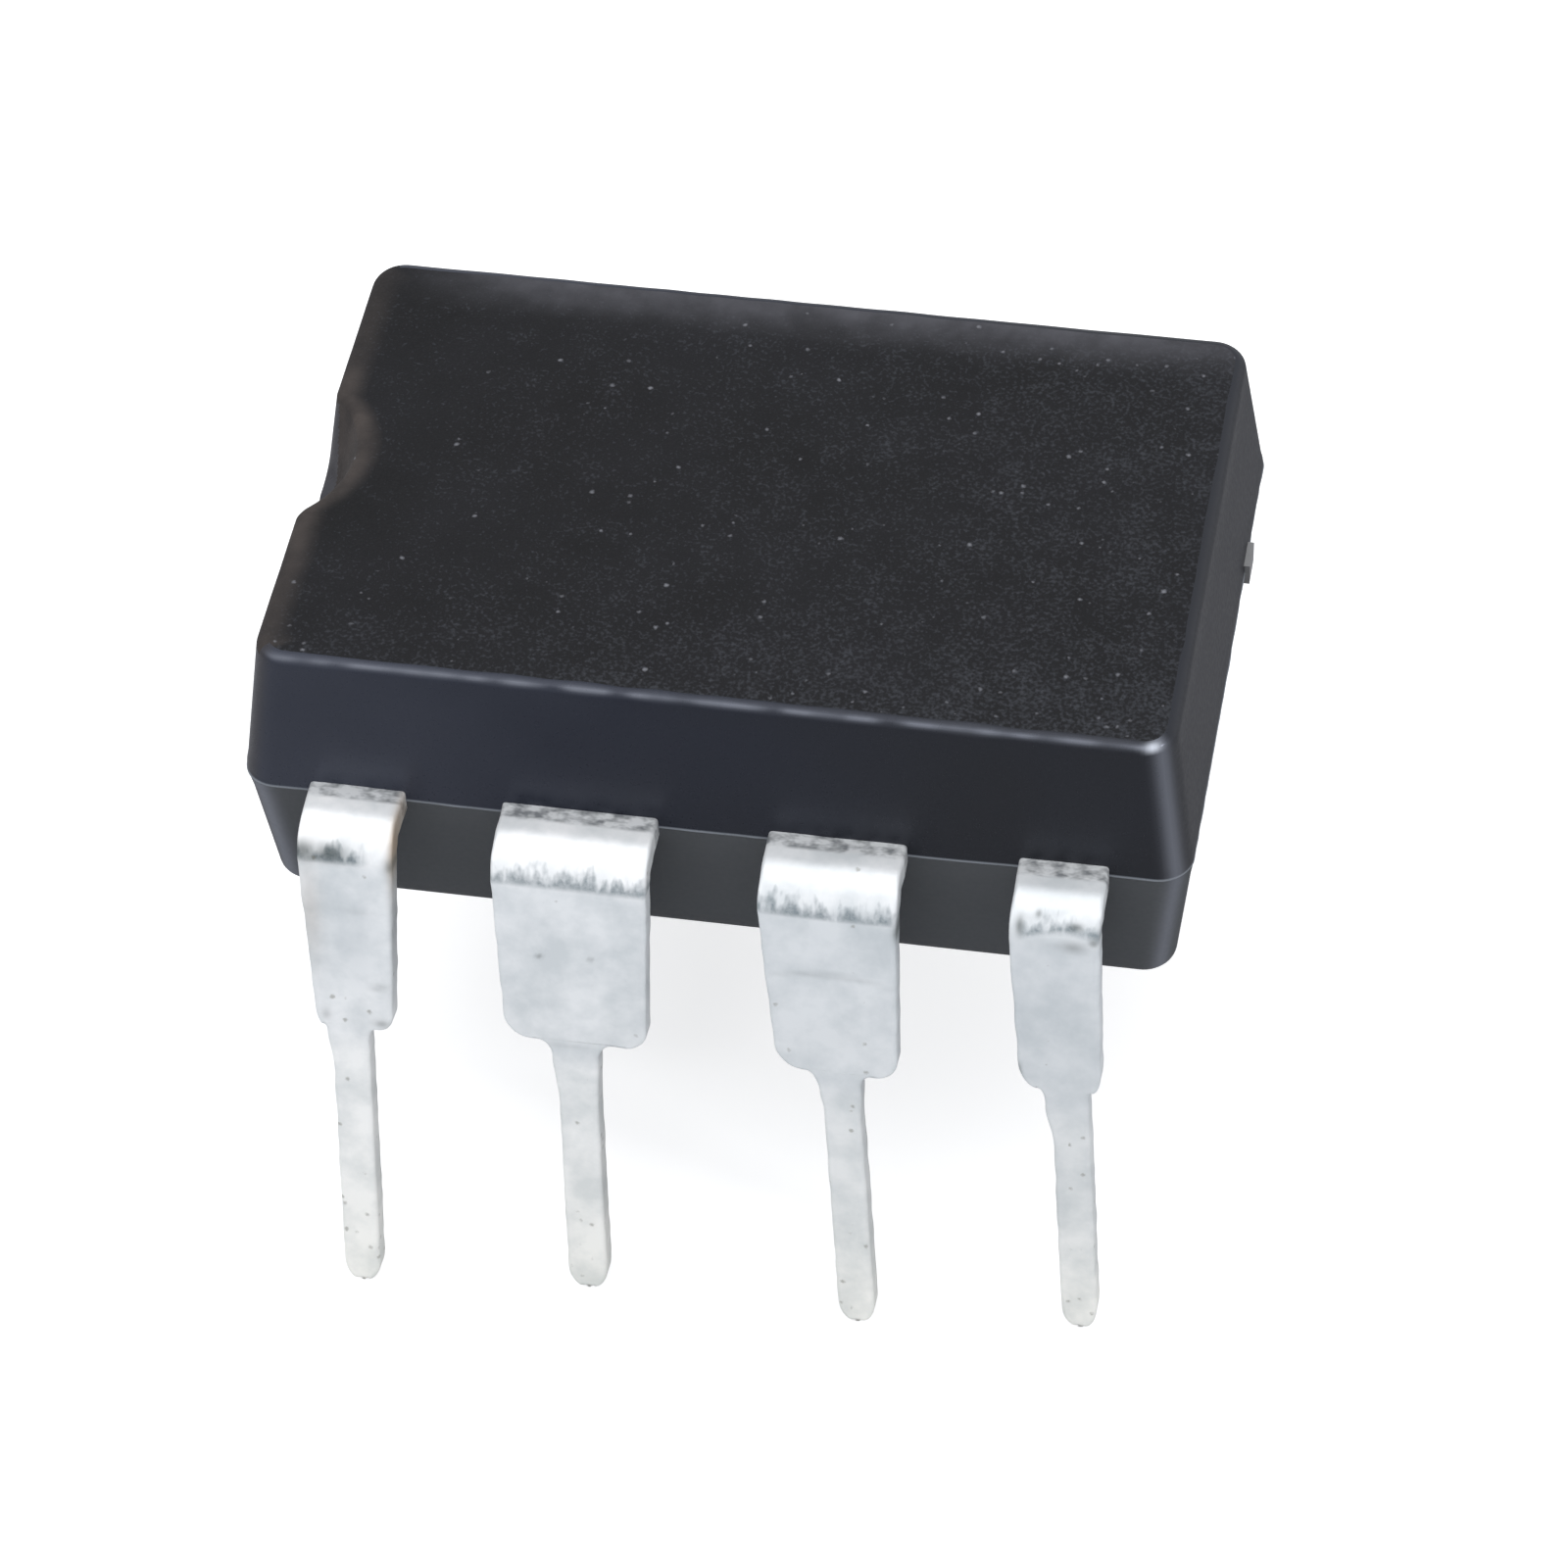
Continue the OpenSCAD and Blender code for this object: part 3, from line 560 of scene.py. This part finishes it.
        # painted highlight: a pale line along the middle of the top edge's round, broken up by noise
        patchy = np.clip(0.75 + 0.35 * waveNoise(31, rimX[0], rimY[0], wearAndSheen["sheenNoise"]), 0, 1)
        edgeSheenBand = np.exp(-((share - 0.52) / 0.15) ** 2) * patchy
        addRow(rimX, rimY, body["top"] - edge * (1 - np.sin(t)), 0.0, 1.0 if share > 0.99 else 0.0, edgeSheenBand,
            1.0, 1.0, np.exp(-((share - 0.5) / 0.3) ** 2))
    for share in (0.004, 0.012, 0.022, 0.035, 0.05, 0.07, 0.1, 0.14, 0.19, 0.25, 0.35, 0.5, 0.65, 0.85, 0.97):
        addRow(rimX * (1 - share), rimY * (1 - share), body["top"], 0.0, 1.0, 0.0,
            1 - smoothStep(0.0, 0.055, share), 1.0)
    return np.stack([xs, ys, zs], axis=-1), tints, np.array(rounded)


def undersidePatch(rim, side):
    # the half of the underside on one side of the middle, drawn out from its round ejector mark to the rim
    holds = rim[:, 0] * side >= -1e-9
    start = np.flatnonzero(holds & ~np.roll(holds, 1))[0]
    loop = np.roll(rim, -start, axis=0)[:holds.sum()]
    crossing = np.linspace(loop[-1], loop[0], 42)[1:-1]
    loop = np.concatenate([loop, crossing])
    middle = np.array([side * body["markOffset"], 0.0])
    away = loop[:, :2] - middle
    away /= np.linalg.norm(away, axis=1, keepdims=True)
    radius = body["markDiameter"] / 2
    rings = []
    markProfile = (
        (0.02, 1.0), (0.5, 1.0), (radius - 0.03, 1.0), (radius - 0.015, 0.93), (radius - 0.004, 0.6),
        (radius + 0.004, 0.3), (radius + 0.015, 0.06), (radius + 0.03, 0.0),
    )
    for reach, depth in markProfile:
        flat = middle + away * reach
        rings.append(np.column_stack([flat, np.full(len(flat), body["bottom"] + depth * body["markDepth"])]))
    first = rings[-1]
    for share in (0.1, 0.3, 0.55, 0.8, 0.95, 0.99, 1.0):
        rings.append(first * (1 - share) + loop * share)
    return np.array(rings)


rows, rowTints, topShare = bodyRows()
rowCount, columnCount = rows.shape[:2]
points = rows.reshape(-1, 3)
faces = gridFaces(rowCount, columnCount).tolist()
faceRow = np.repeat(np.arange(rowCount - 1), columnCount)
matte = topShare[faceRow] > 0.5
# the wall of the notch is eroded like the top face, and so is the rounded edge at that end
middle = points[np.array(faces)].mean(axis=1)
faceTurn = np.tile(bodyColumns()[2], rowCount - 1)
atNotchEnd = (faceTurn > 0.6 * np.pi) & (faceTurn < 1.2 * np.pi)
inNotch = (middle[:, 0] > 0.04 - topHalfLength) & (middle[:, 2] > notchFloor) & (np.abs(middle[:, 1]) < 1.2)
matte |= atNotchEnd & (inNotch | (middle[:, 2] > body["top"] - body["topEdge"]))
finishes = matte.astype(int).tolist()
points = np.vstack([points, [[0.0, 0.0, body["top"]]]])
lastRow = (rowCount - 1) * columnCount
faces += [[lastRow + k, lastRow + (k + 1) % columnCount, len(points) - 1] for k in range(columnCount)]
finishes += [1] * columnCount
for side in (-1, 1):
    patch = undersidePatch(rows[0], side)
    ringCount, spokeCount = patch.shape[:2]
    first = len(points)
    hub = first + ringCount * spokeCount
    hubPoint = (side * body["markOffset"], 0.0, body["bottom"] + body["markDepth"])
    points = np.vstack([points, patch.reshape(-1, 3), [hubPoint]])
    faces += gridFaces(ringCount, spokeCount, first).tolist()
    finishes += [1] * ((ringCount - 1) * spokeCount)
    faces += [[first + (k + 1) % spokeCount, first + k, hub] for k in range(spokeCount)]
    finishes += [1] * spokeCount
bodyTints = {title: np.zeros(len(points)) for title in rowTints}
for title, rowsOf in rowTints.items():
    bodyTints[title][:rowCount * columnCount] = np.array(rowsOf).reshape(-1)
bodyShell = makePiece("bodyShell", points, faces, "package_body",
    [polishedEpoxy, blastedEpoxy], finishes, tints=bodyTints)
print("stage 3: body shell,", len(bodyShell.data.polygons), "faces")

# The eight leads, 1 to 4 along the front from the notch end and 5 to 8 along the back towards it
lead = {
    "pitch": 2.54, "spacing": 7.62, "pinLength": 3.3, "thickness": 0.25, "bendInside": 0.2,
    "tipHeight": 0.27, "tipShare": 0.9, "frontEdge": 0.04, "backEdge": 0.015, "across": 40,
    "fingerRoot": 0.45, "fingerWidth": 0.6, "middleFingerEnd": 1.3, "endFingerEnd": 1.88,
    "middleFingerX": 1.0, "endFingerX": 2.5, "ripple": 0.003, "peel": 0.002, "sideNoise": 0.004,
    "tipRound": 0.03,
}
# bend and foot give the strip's reach to the left and right of its pin's middle, and the pairs after them
# are left and right too; offset is the pin's from the pitch grid, and craze the band's ends and strength
# painted shade: the per-lead grey value below greys each strip, the front leads more so further to the right
usualLead = {
    "lean": 0.0, "offset": 0.0, "bend": (0.76, 0.76), "foot": (0.7, 0.7), "corner": (0.24, 0.24),
    "cornerTall": (1.0, 1.0), "fillet": (0.16, 0.16), "filletTall": (1.2, 1.2), "neck": (0.03, 0.03),
    "pinWidth": 0.41, "neckHeight": 0.7, "tarnish": 0.1, "craze": (-0.9, 0.9, 0.8), "arch": 0.0,
}
leadPlaces = {  # what differs from the usual lead
    1: {"splay": 11.9, "lean": 0.5, "offset": 0.2, "bend": (0.46, 0.51),
        "foot": (0.36, 0.45), "corner": (0.1, 0.14), "cornerTall": (4.0, 1.4), "filletTall": (2.5, 2.0),
        "fillet": (0.07, 0.16), "neck": (0.06, 0.0), "pinWidth": 0.38, "neckHeight": 0.6, "tarnish": 0.0,
        "craze": (-0.5, 0.2, 0.9)},
    2: {"splay": 9.1, "lean": 1.1, "offset": -0.04, "bend": (0.79, 0.79),
        "foot": (0.74, 0.73), "corner": (0.3, 0.2), "cornerTall": (1.0, 1.1), "filletTall": (1.4, 1.3),
        "fillet": (0.16, 0.22), "neck": (0.05, 0.02), "neckHeight": 0.9, "tarnish": 0.06,
        "craze": (-0.9, 0.9, 0.75)},
    3: {"splay": 9.5, "lean": 3.6, "offset": 0.04, "bend": (0.71, 0.68),
        "foot": (0.65, 0.6), "corner": (0.3, 0.22), "cornerTall": (1.1, 1.1), "filletTall": (2.2, 1.6),
        "fillet": (0.12, 0.14), "neck": (0.03, 0.02), "pinWidth": 0.38, "neckHeight": 0.5, "tarnish": 0.2,
        "craze": (-0.8, 0.8, 0.75), "arch": -0.02},
    4: {"splay": 6.5, "lean": 3.0, "offset": -0.155, "bend": (0.545, 0.355),
        "foot": (0.515, 0.315), "corner": (0.24, 0.1), "cornerTall": (2.0, 2.2), "filletTall": (3.0, 2.5),
        "fillet": (0.12, 0.05), "neck": (0.07, 0.0), "pinWidth": 0.37, "neckHeight": 0.9, "tarnish": 0.26,
        "craze": (-0.42, 0.5, 0.75), "arch": 0.1},
    5: {"splay": 8.0, "bend": (0.68, 0.29), "foot": (0.56, 0.27),
        "corner": (0.24, 0.03), "cornerTall": (1.2, 1.0), "filletTall": (1.5, 1.0),
        "fillet": (0.16, 0.02), "neck": (0.03, 0.0), "tarnish": 0.15},
    6: {"splay": 8.5},
    7: {"splay": 9.0, "arch": 0.02},
    8: {"splay": 11.9, "bend": (0.29, 0.68), "foot": (0.27, 0.56),
        "corner": (0.03, 0.24), "cornerTall": (1.0, 1.2), "filletTall": (1.0, 1.5),
        "fillet": (0.02, 0.16), "neck": (0.0, 0.03), "tarnish": 0.05},
}
bendMean = lead["bendInside"] + lead["thickness"] / 2
bendY = lead["spacing"] / 2 - bendMean
bendZ = body["parting"] - bendMean


def arcPoints(start, end, count):
    # (cos, sin) of evenly spaced turns between two in degrees
    turn = np.radians(np.linspace(start, end, count))
    return np.column_stack([np.cos(turn), np.sin(turn)])


def straightPoints(start, end, count):
    # evenly spaced from start to end, without the start
    return np.linspace(start, end, count)[1:]


def leadSide(facts, which, length, bendRun, finger):
    # one side of the flat strip from the tip up: tip round, pin, fillet, shoulder corner, taper, bend, finger
    parts = ("foot", "bend", "neck", "corner", "fillet")
    foot, bend, neck, corner, fillet = (facts[part][which] for part in parts)
    half = facts["pinWidth"] / 2
    step = foot - half - neck
    corner = min(corner, step * 0.7)
    fillet = min(fillet, step * 0.28)
    tall = corner * facts["cornerTall"][which]
    rising = fillet * facts["filletTall"][which]
    pin, rise, reach = lead["pinLength"], lead["tipHeight"], lead["tipShare"] * half
    root = length + bendRun + bendY - (body["width"] / 2 - lead["fingerRoot"])
    end, widen = finger
    tip = arcPoints(-90, 0, 14) * (reach, rise) + (half - reach, rise)
    sidePoints = straightPoints((half, rise), (half, pin - rising), 56)
    # the pin widens by the neck's height below the shoulder
    sidePoints[:, 0] += neck * smoothStep(pin - facts["neckHeight"], pin - rising, sidePoints[:, 1]) ** 1.5
    return np.concatenate([
        tip,
        sidePoints,
        arcPoints(180, 90, 11)[1:] * (fillet, rising) + (half + neck + fillet, pin - rising),
        straightPoints((half + neck + fillet, pin), (foot - corner, pin), 5),
        arcPoints(-90, 0, 12)[1:] * (corner, tall) + (foot - corner, pin + tall),
        straightPoints((foot, pin + tall), (bend, length), 36),
        straightPoints((bend, length), (bend, length + bendRun), 34),
        straightPoints((bend, length + bendRun), (bend, root), 22),
        straightPoints((bend, root), (widen, end), 12),
    ])


def bendOut(y, away, length, splay):
    # a point at strip height y and a distance away from its middle: up the leg, round the bend, level inwards
    turn = splay + np.clip((y - length) / bendMean, 0, np.pi / 2 - splay)
    run = bendMean * (np.pi / 2 - splay)
    down = np.maximum(length - y, 0)
    inwards = np.maximum(y - length - run, 0)
    out = bendY + (bendMean + away) * np.cos(turn) + down * np.sin(splay) - inwards
    up = bendZ + (bendMean + away) * np.sin(turn) - down * np.cos(splay)
    return out, up


def leadMarks(number, x, fromBend):
    # soft spots on each lead: exp(-(dx / wide)^2 - (dy / tall)^2), where dy drops by the bow times dx squared
    marks = {title: np.zeros_like(x) for title in ("stain", "warm", "tarnish")}
    for target, spots in paintedMarks.get(number, {}).items():
        for across, up, wide, tall, strength, bow in spots:
            dx = x - across
            soft = strength * np.exp(-(dx / wide) ** 2 - ((fromBend - up + bow * dx ** 2) / tall) ** 2)
            marks[target] = np.maximum(marks[target], soft)
    return marks


# where each mark lies across the strip and up from the lower end of the bend, how wide and tall it is in
# millimetres, its strength and its bow
# the dark marks along the right side walls of the pins and shoulders and the bowed crease on lead 3 are
# painted shade; the other dark marks are stains
paintedMarks = {
    1: {"warm": [(0.54, 0.25, 0.07, 0.5, 0.85, 0), (-0.36, -0.6, 0.13, 0.6, 0.2, 0)],
        "tarnish": [(0.05, -0.85, 0.3, 0.6, 0.3, 0)],
        "stain": [(-0.4, 0.09, 0.16, 0.08, 0.75, 0), (-0.12, 0.09, 0.2, 0.075, 0.7, 0),
            (0.49, -0.95, 0.03, 0.85, 0.35, 0), (0.22, -4.0, 0.025, 1.15, 0.35, 0),
            (0.33, -1.48, 0.09, 0.03, 0.4, 0), (0.34, -1.93, 0.08, 0.05, 0.45, 0),
            (-0.24, -1.88, 0.05, 0.07, 0.3, 0), (0.5, 0.02, 0.06, 0.08, 0.6, 0),
            (0.15, -0.55, 0.16, 0.03, 0.12, 0)]},
    2: {"stain": [(-0.33, -0.87, 0.035, 0.03, 0.5, 0), (0.2, -0.84, 0.03, 0.03, 0.4, 0),
            (-0.1, -2.0, 0.25, 0.03, 0.12, 0), (0.22, -4.0, 0.025, 1.15, 0.3, 0)]},
    3: {"stain": [(0.69, -0.1, 0.04, 0.1, 0.8, 0), (-0.05, -0.7, 0.5, 0.03, 0.24, 0.22),
            (0.22, -4.0, 0.025, 1.15, 0.35, 0)],
        "tarnish": [(0.0, -0.35, 0.7, 0.35, 0.12, 0)]},
    4: {"stain": [(-0.5, -1.7, 0.03, 0.1, 0.5, 0), (0.33, -2.1, 0.04, 0.1, 0.5, 0),
            (0.1, 0.0, 0.13, 0.06, 0.4, 0), (-0.44, 0.14, 0.04, 0.07, 0.7, 0),
            (-0.26, 0.24, 0.03, 0.03, 0.6, 0), (0.12, 0.17, 0.07, 0.03, 0.7, 0),
            (0.3, 0.06, 0.05, 0.03, 0.6, 0)]},
}


def buildLead(number):
    # the strip's two outlines with an edge round between them, carried up the leg, round the bend and in
    facts = {**usualLead, **leadPlaces[number]}
    splay = np.radians(facts["splay"])
    length = (bendZ + lead["bendInside"] * np.sin(splay)) / np.cos(splay)
    bendRun = bendMean * (np.pi / 2 - splay)
    isFront = number < 5
    middleX = (number - 2.5 if isFront else 6.5 - number) * lead["pitch"]
    inward = 1 if middleX < 0 else -1
    isEnd = abs(middleX) > lead["pitch"]
    fingerEnd = lead["endFingerEnd"] if isEnd else lead["middleFingerEnd"]
    fingerX = inward * (abs(middleX) - (lead["endFingerX"] if isEnd else lead["middleFingerX"]))
    endAt = length + bendRun + bendY - fingerEnd
    sides = []
    for side in (1, -1):
        fingerReach = side * (fingerX - facts["offset"]) + lead["fingerWidth"] / 2
        outline = leadSide(facts, 0 if side < 0 else 1, length, bendRun, (endAt, fingerReach))
        tangent = np.gradient(outline, axis=0)
        normal = np.column_stack([tangent[:, 1], -tangent[:, 0]])
        normal /= np.linalg.norm(normal, axis=1, keepdims=True)
        normal[0] = (1.0, 0.0)
        uneven = waveNoise(40 + number * 2 + side, outline[:, 1], outline[:, 0], 0.35)
        outline = outline + normal * (lead["sideNoise"] * uneven)[:, None]
        sides.append((outline * (side, 1), normal * (side, 1)))
    (right, rightNormal), (left, leftNormal) = sides
    # thickness and edge rounds, given back towards the tip's end face
    half = lead["thickness"] / 2
    tipRound = lead["tipRound"]
    low = np.minimum(right[:, 1], left[:, 1])
    thin = tipRound - np.sqrt(np.maximum(tipRound ** 2 - np.maximum(tipRound - low, 0) ** 2, 0))
    turn = np.radians(np.linspace(0, 90, 5))
    front, rear = lead["frontEdge"], lead["backEdge"]
    frontBack = [(front * (1 - np.sin(t)), half - front * (1 - np.cos(t))) for t in turn]
    backBack = [(rear * (1 - np.sin(t)), -half + rear * (1 - np.cos(t))) for t in turn[::-1]]
    share = np.linspace(0, 1, lead["across"] + 1)[1:-1]
    frontRight, frontLeft = right - rightNormal * front, left - leftNormal * front
    backRight, backLeft = right - rightNormal * rear, left - leftNormal * rear
    # round the strip's section: front face, right edge, back face and left edge, each with its distance away
    # from the strip's middle
    section = [(frontLeft * (1 - t) + frontRight * t, half) for t in share]
    section += [(right - rightNormal * inset, at) for inset, at in frontBack + backBack]
    section += [(backRight * (1 - t) + backLeft * t, -half) for t in share]
    section += [(left - leftNormal * inset, at) for inset, at in (frontBack + backBack)[::-1]]
    flat = np.stack([line for line, at in section], axis=1)
    away = np.full(flat.shape[:2], [at for line, at in section])
    away = np.sign(away) * np.maximum(np.abs(away) - thin[:, None], 0)
    x, y = flat[..., 0], flat[..., 1]
    fromBend = y - length
    # faint ripples from stamping, and orange peel where the plating stretched round the bend
    away = away + lead["ripple"] * waveNoise(70 + number, x, y, 0.9)
    peelBand = smoothStep(-0.08, 0.05, fromBend) * (1 - smoothStep(0.22, 0.4, fromBend))
    away = away + np.sign(away) * peelBand * lead["peel"] * waveNoise(90 + number, x, y, 0.13)
    marks = leadMarks(number, x, fromBend)
    leaned = x + facts["offset"] + np.tan(np.radians(facts["lean"])) * np.maximum(length - y, 0)
    out, up = bendOut(y, away, length, splay)
    grid = np.stack([middleX + leaned, -out if isFront else out, up], axis=-1)
    rowCount, loopCount = grid.shape[:2]
    faces = gridFaces(rowCount, loopCount).tolist()
    faces.append(list(range(loopCount)))
    faces.append(list(range((rowCount - 1) * loopCount, rowCount * loopCount)))
    strip = np.stack([x / stripMap["across"], fromBend / stripMap["along"]], axis=-1).reshape(-1, 2) + 0.5
    # the crazed band fades out beyond its two ends, and lies highest in the middle where it arches
    fromLeft, toRight, strength = facts["craze"]
    craze = strength * smoothStep(fromLeft - 0.05, fromLeft + 0.05, x)
    craze = craze * (1 - smoothStep(toRight - 0.1, toRight + 0.1, x))
    crazeAt = 0.05 + facts["arch"] * (1 - (x / facts["bend"][0]) ** 2)
    tarnish = np.maximum(facts["tarnish"] * smoothStep(-5.0, -3.2, fromBend), marks["tarnish"])
    tints = {**marks, "craze": craze, "crazeAt": crazeAt, "tarnish": tarnish}
    return makePiece(f"leadStrip{number}", grid.reshape(-1, 3), faces, f"lead_{number}",
        [tinPlate], uv=strip, tints={title: column.reshape(-1) for title, column in tints.items()})


for number in leadPlaces:
    piece = buildLead(number)
print("stage 4: leads,", len(piece.data.polygons), "faces each")

# Pale floor, which shows white to the camera, darker in reflections, and still takes the shadow
floor = {"halfSize": 400.0, "glow": 0.5, "mottleWidth": 40.0}
floorPaint, add, shader, place = newMaterial("floorPaint",
    {"Roughness": 0.9, "Specular IOR Level": 0.1, "Emission Color": (1, 1, 1, 1)})
mottle = add("TexNoise", values={"Scale": perMillimetre / floor["mottleWidth"], "Detail": 2},
    links={"Vector": place})
paint = add("ValToRGB", links={0: mottle}, stops=[(0.3, "#e4e4e4"), (0.7, "#e8e8e8")])
rays = add("LightPath")
reflected = add("Mix", colourMix, values={7: toLinear("#a6a6a8")},
    links={0: rays.outputs["Is Glossy Ray"], 6: paint})
seen = add("Math", times, values={1: floor["glow"]}, links={0: rays.outputs["Is Camera Ray"]})
linkInto(shader, {"Base Color": reflected.outputs[2], "Emission Strength": seen})
signs = ((-1, -1), (1, -1), (1, 1), (-1, 1))
halfSize = floor["halfSize"] * metre
floorMesh = bpy.data.meshes.new("floor")
floorMesh.from_pydata([(x * halfSize, y * halfSize, 0) for x, y in signs], [], [(0, 1, 2, 3)])
floorMesh.materials.append(floorPaint)
floorPiece = bpy.data.objects.new("floor", floorMesh)
bpy.context.scene.collection.objects.link(floorPiece)

# Soft studio light: an even bright room, two large soft boxes, and a small one for the glint on a corner
room = {"colour": "#f4f6fa", "strength": 0.95}
world = bpy.data.worlds.new("room")
bpy.context.scene.world = world
world.use_nodes = True
world.node_tree.nodes.clear()
add = functools.partial(addNode, world.node_tree)
rays = add("LightPath")
around = add("Background", values={"Color": toLinear(room["colour"]), "Strength": room["strength"]})
white = add("Background", values={"Color": (1, 1, 1, 1), "Strength": 1.0})
shown = add("MixShader", links={0: rays.outputs["Is Camera Ray"], 1: around, 2: white})
add("OutputWorld", links={"Surface": shown})


def standAt(thing, right, up, back, place):
    # the columns of the thing's matrix are its right, up and back directions and its place
    turned = np.eye(4)
    turned[:3] = np.column_stack([right, up, back, place * metre])
    thing.matrix_world = Matrix(turned.tolist())
    bpy.context.scene.collection.objects.link(thing)


softBoxes = {  # place in mm, size in mm, and the brightness of its face where 1 is white
    "overhead": {"place": (-10, -8, 95), "aim": (0, 0, 4), "size": 90, "brightness": 1.3},
    "frontLeft": {"place": (-80, -60, 55), "aim": (0, 0, 4), "size": 60, "brightness": 1.0},
    "cornerGlint": {"place": (82, -27, 66), "aim": (4.5, -3, 7), "size": 8, "brightness": 50.0},
}
for title, box in softBoxes.items():
    light = bpy.data.lights.new(title, "AREA")
    light.shape = "SQUARE"
    light.size = box["size"] * metre
    light.energy = box["brightness"] * np.pi * (box["size"] * metre) ** 2
    lamp = bpy.data.objects.new(title, light)
    place, aim = np.array(box["place"], float), np.array(box["aim"], float)
    back = (place - aim) / np.linalg.norm(place - aim)
    right = np.cross((0, 0, 1), back)
    right /= np.linalg.norm(right)
    standAt(lamp, right, np.cross(back, right), back, place)
print("stage 5: floor and light")

# Camera: over the front row from a little to the right, almost level with the long edges
view = {"azimuth": 11.736, "elevation": 46.368, "roll": -2.483, "distance": 63.671, "right": 0.191,
    "up": -1.746, "aimHeight": 5.5, "lens": 142.02}
azimuth, elevation, roll = np.radians([view["azimuth"], view["elevation"], view["roll"]])
level = np.array([np.cos(azimuth), np.sin(azimuth), 0.0])
away = np.array([np.sin(azimuth), -np.cos(azimuth), 0.0])
back = away * np.cos(elevation) + np.array([0, 0, np.sin(elevation)])
upright = np.cross(back, level)
right = np.cos(roll) * level + np.sin(roll) * upright
up = -np.sin(roll) * level + np.cos(roll) * upright
aim = np.array([0, 0, view["aimHeight"]])
place = aim + back * view["distance"] + right * view["right"] + up * view["up"]
cameraData = bpy.data.cameras.new("camera")
cameraData.lens = view["lens"]
cameraData.clip_start = 1 * metre
cameraData.clip_end = 5000 * metre
camera = bpy.data.objects.new("camera", cameraData)
standAt(camera, right, up, back, place)
bpy.context.scene.camera = camera
bpy.context.scene.view_settings.view_transform = "Standard"
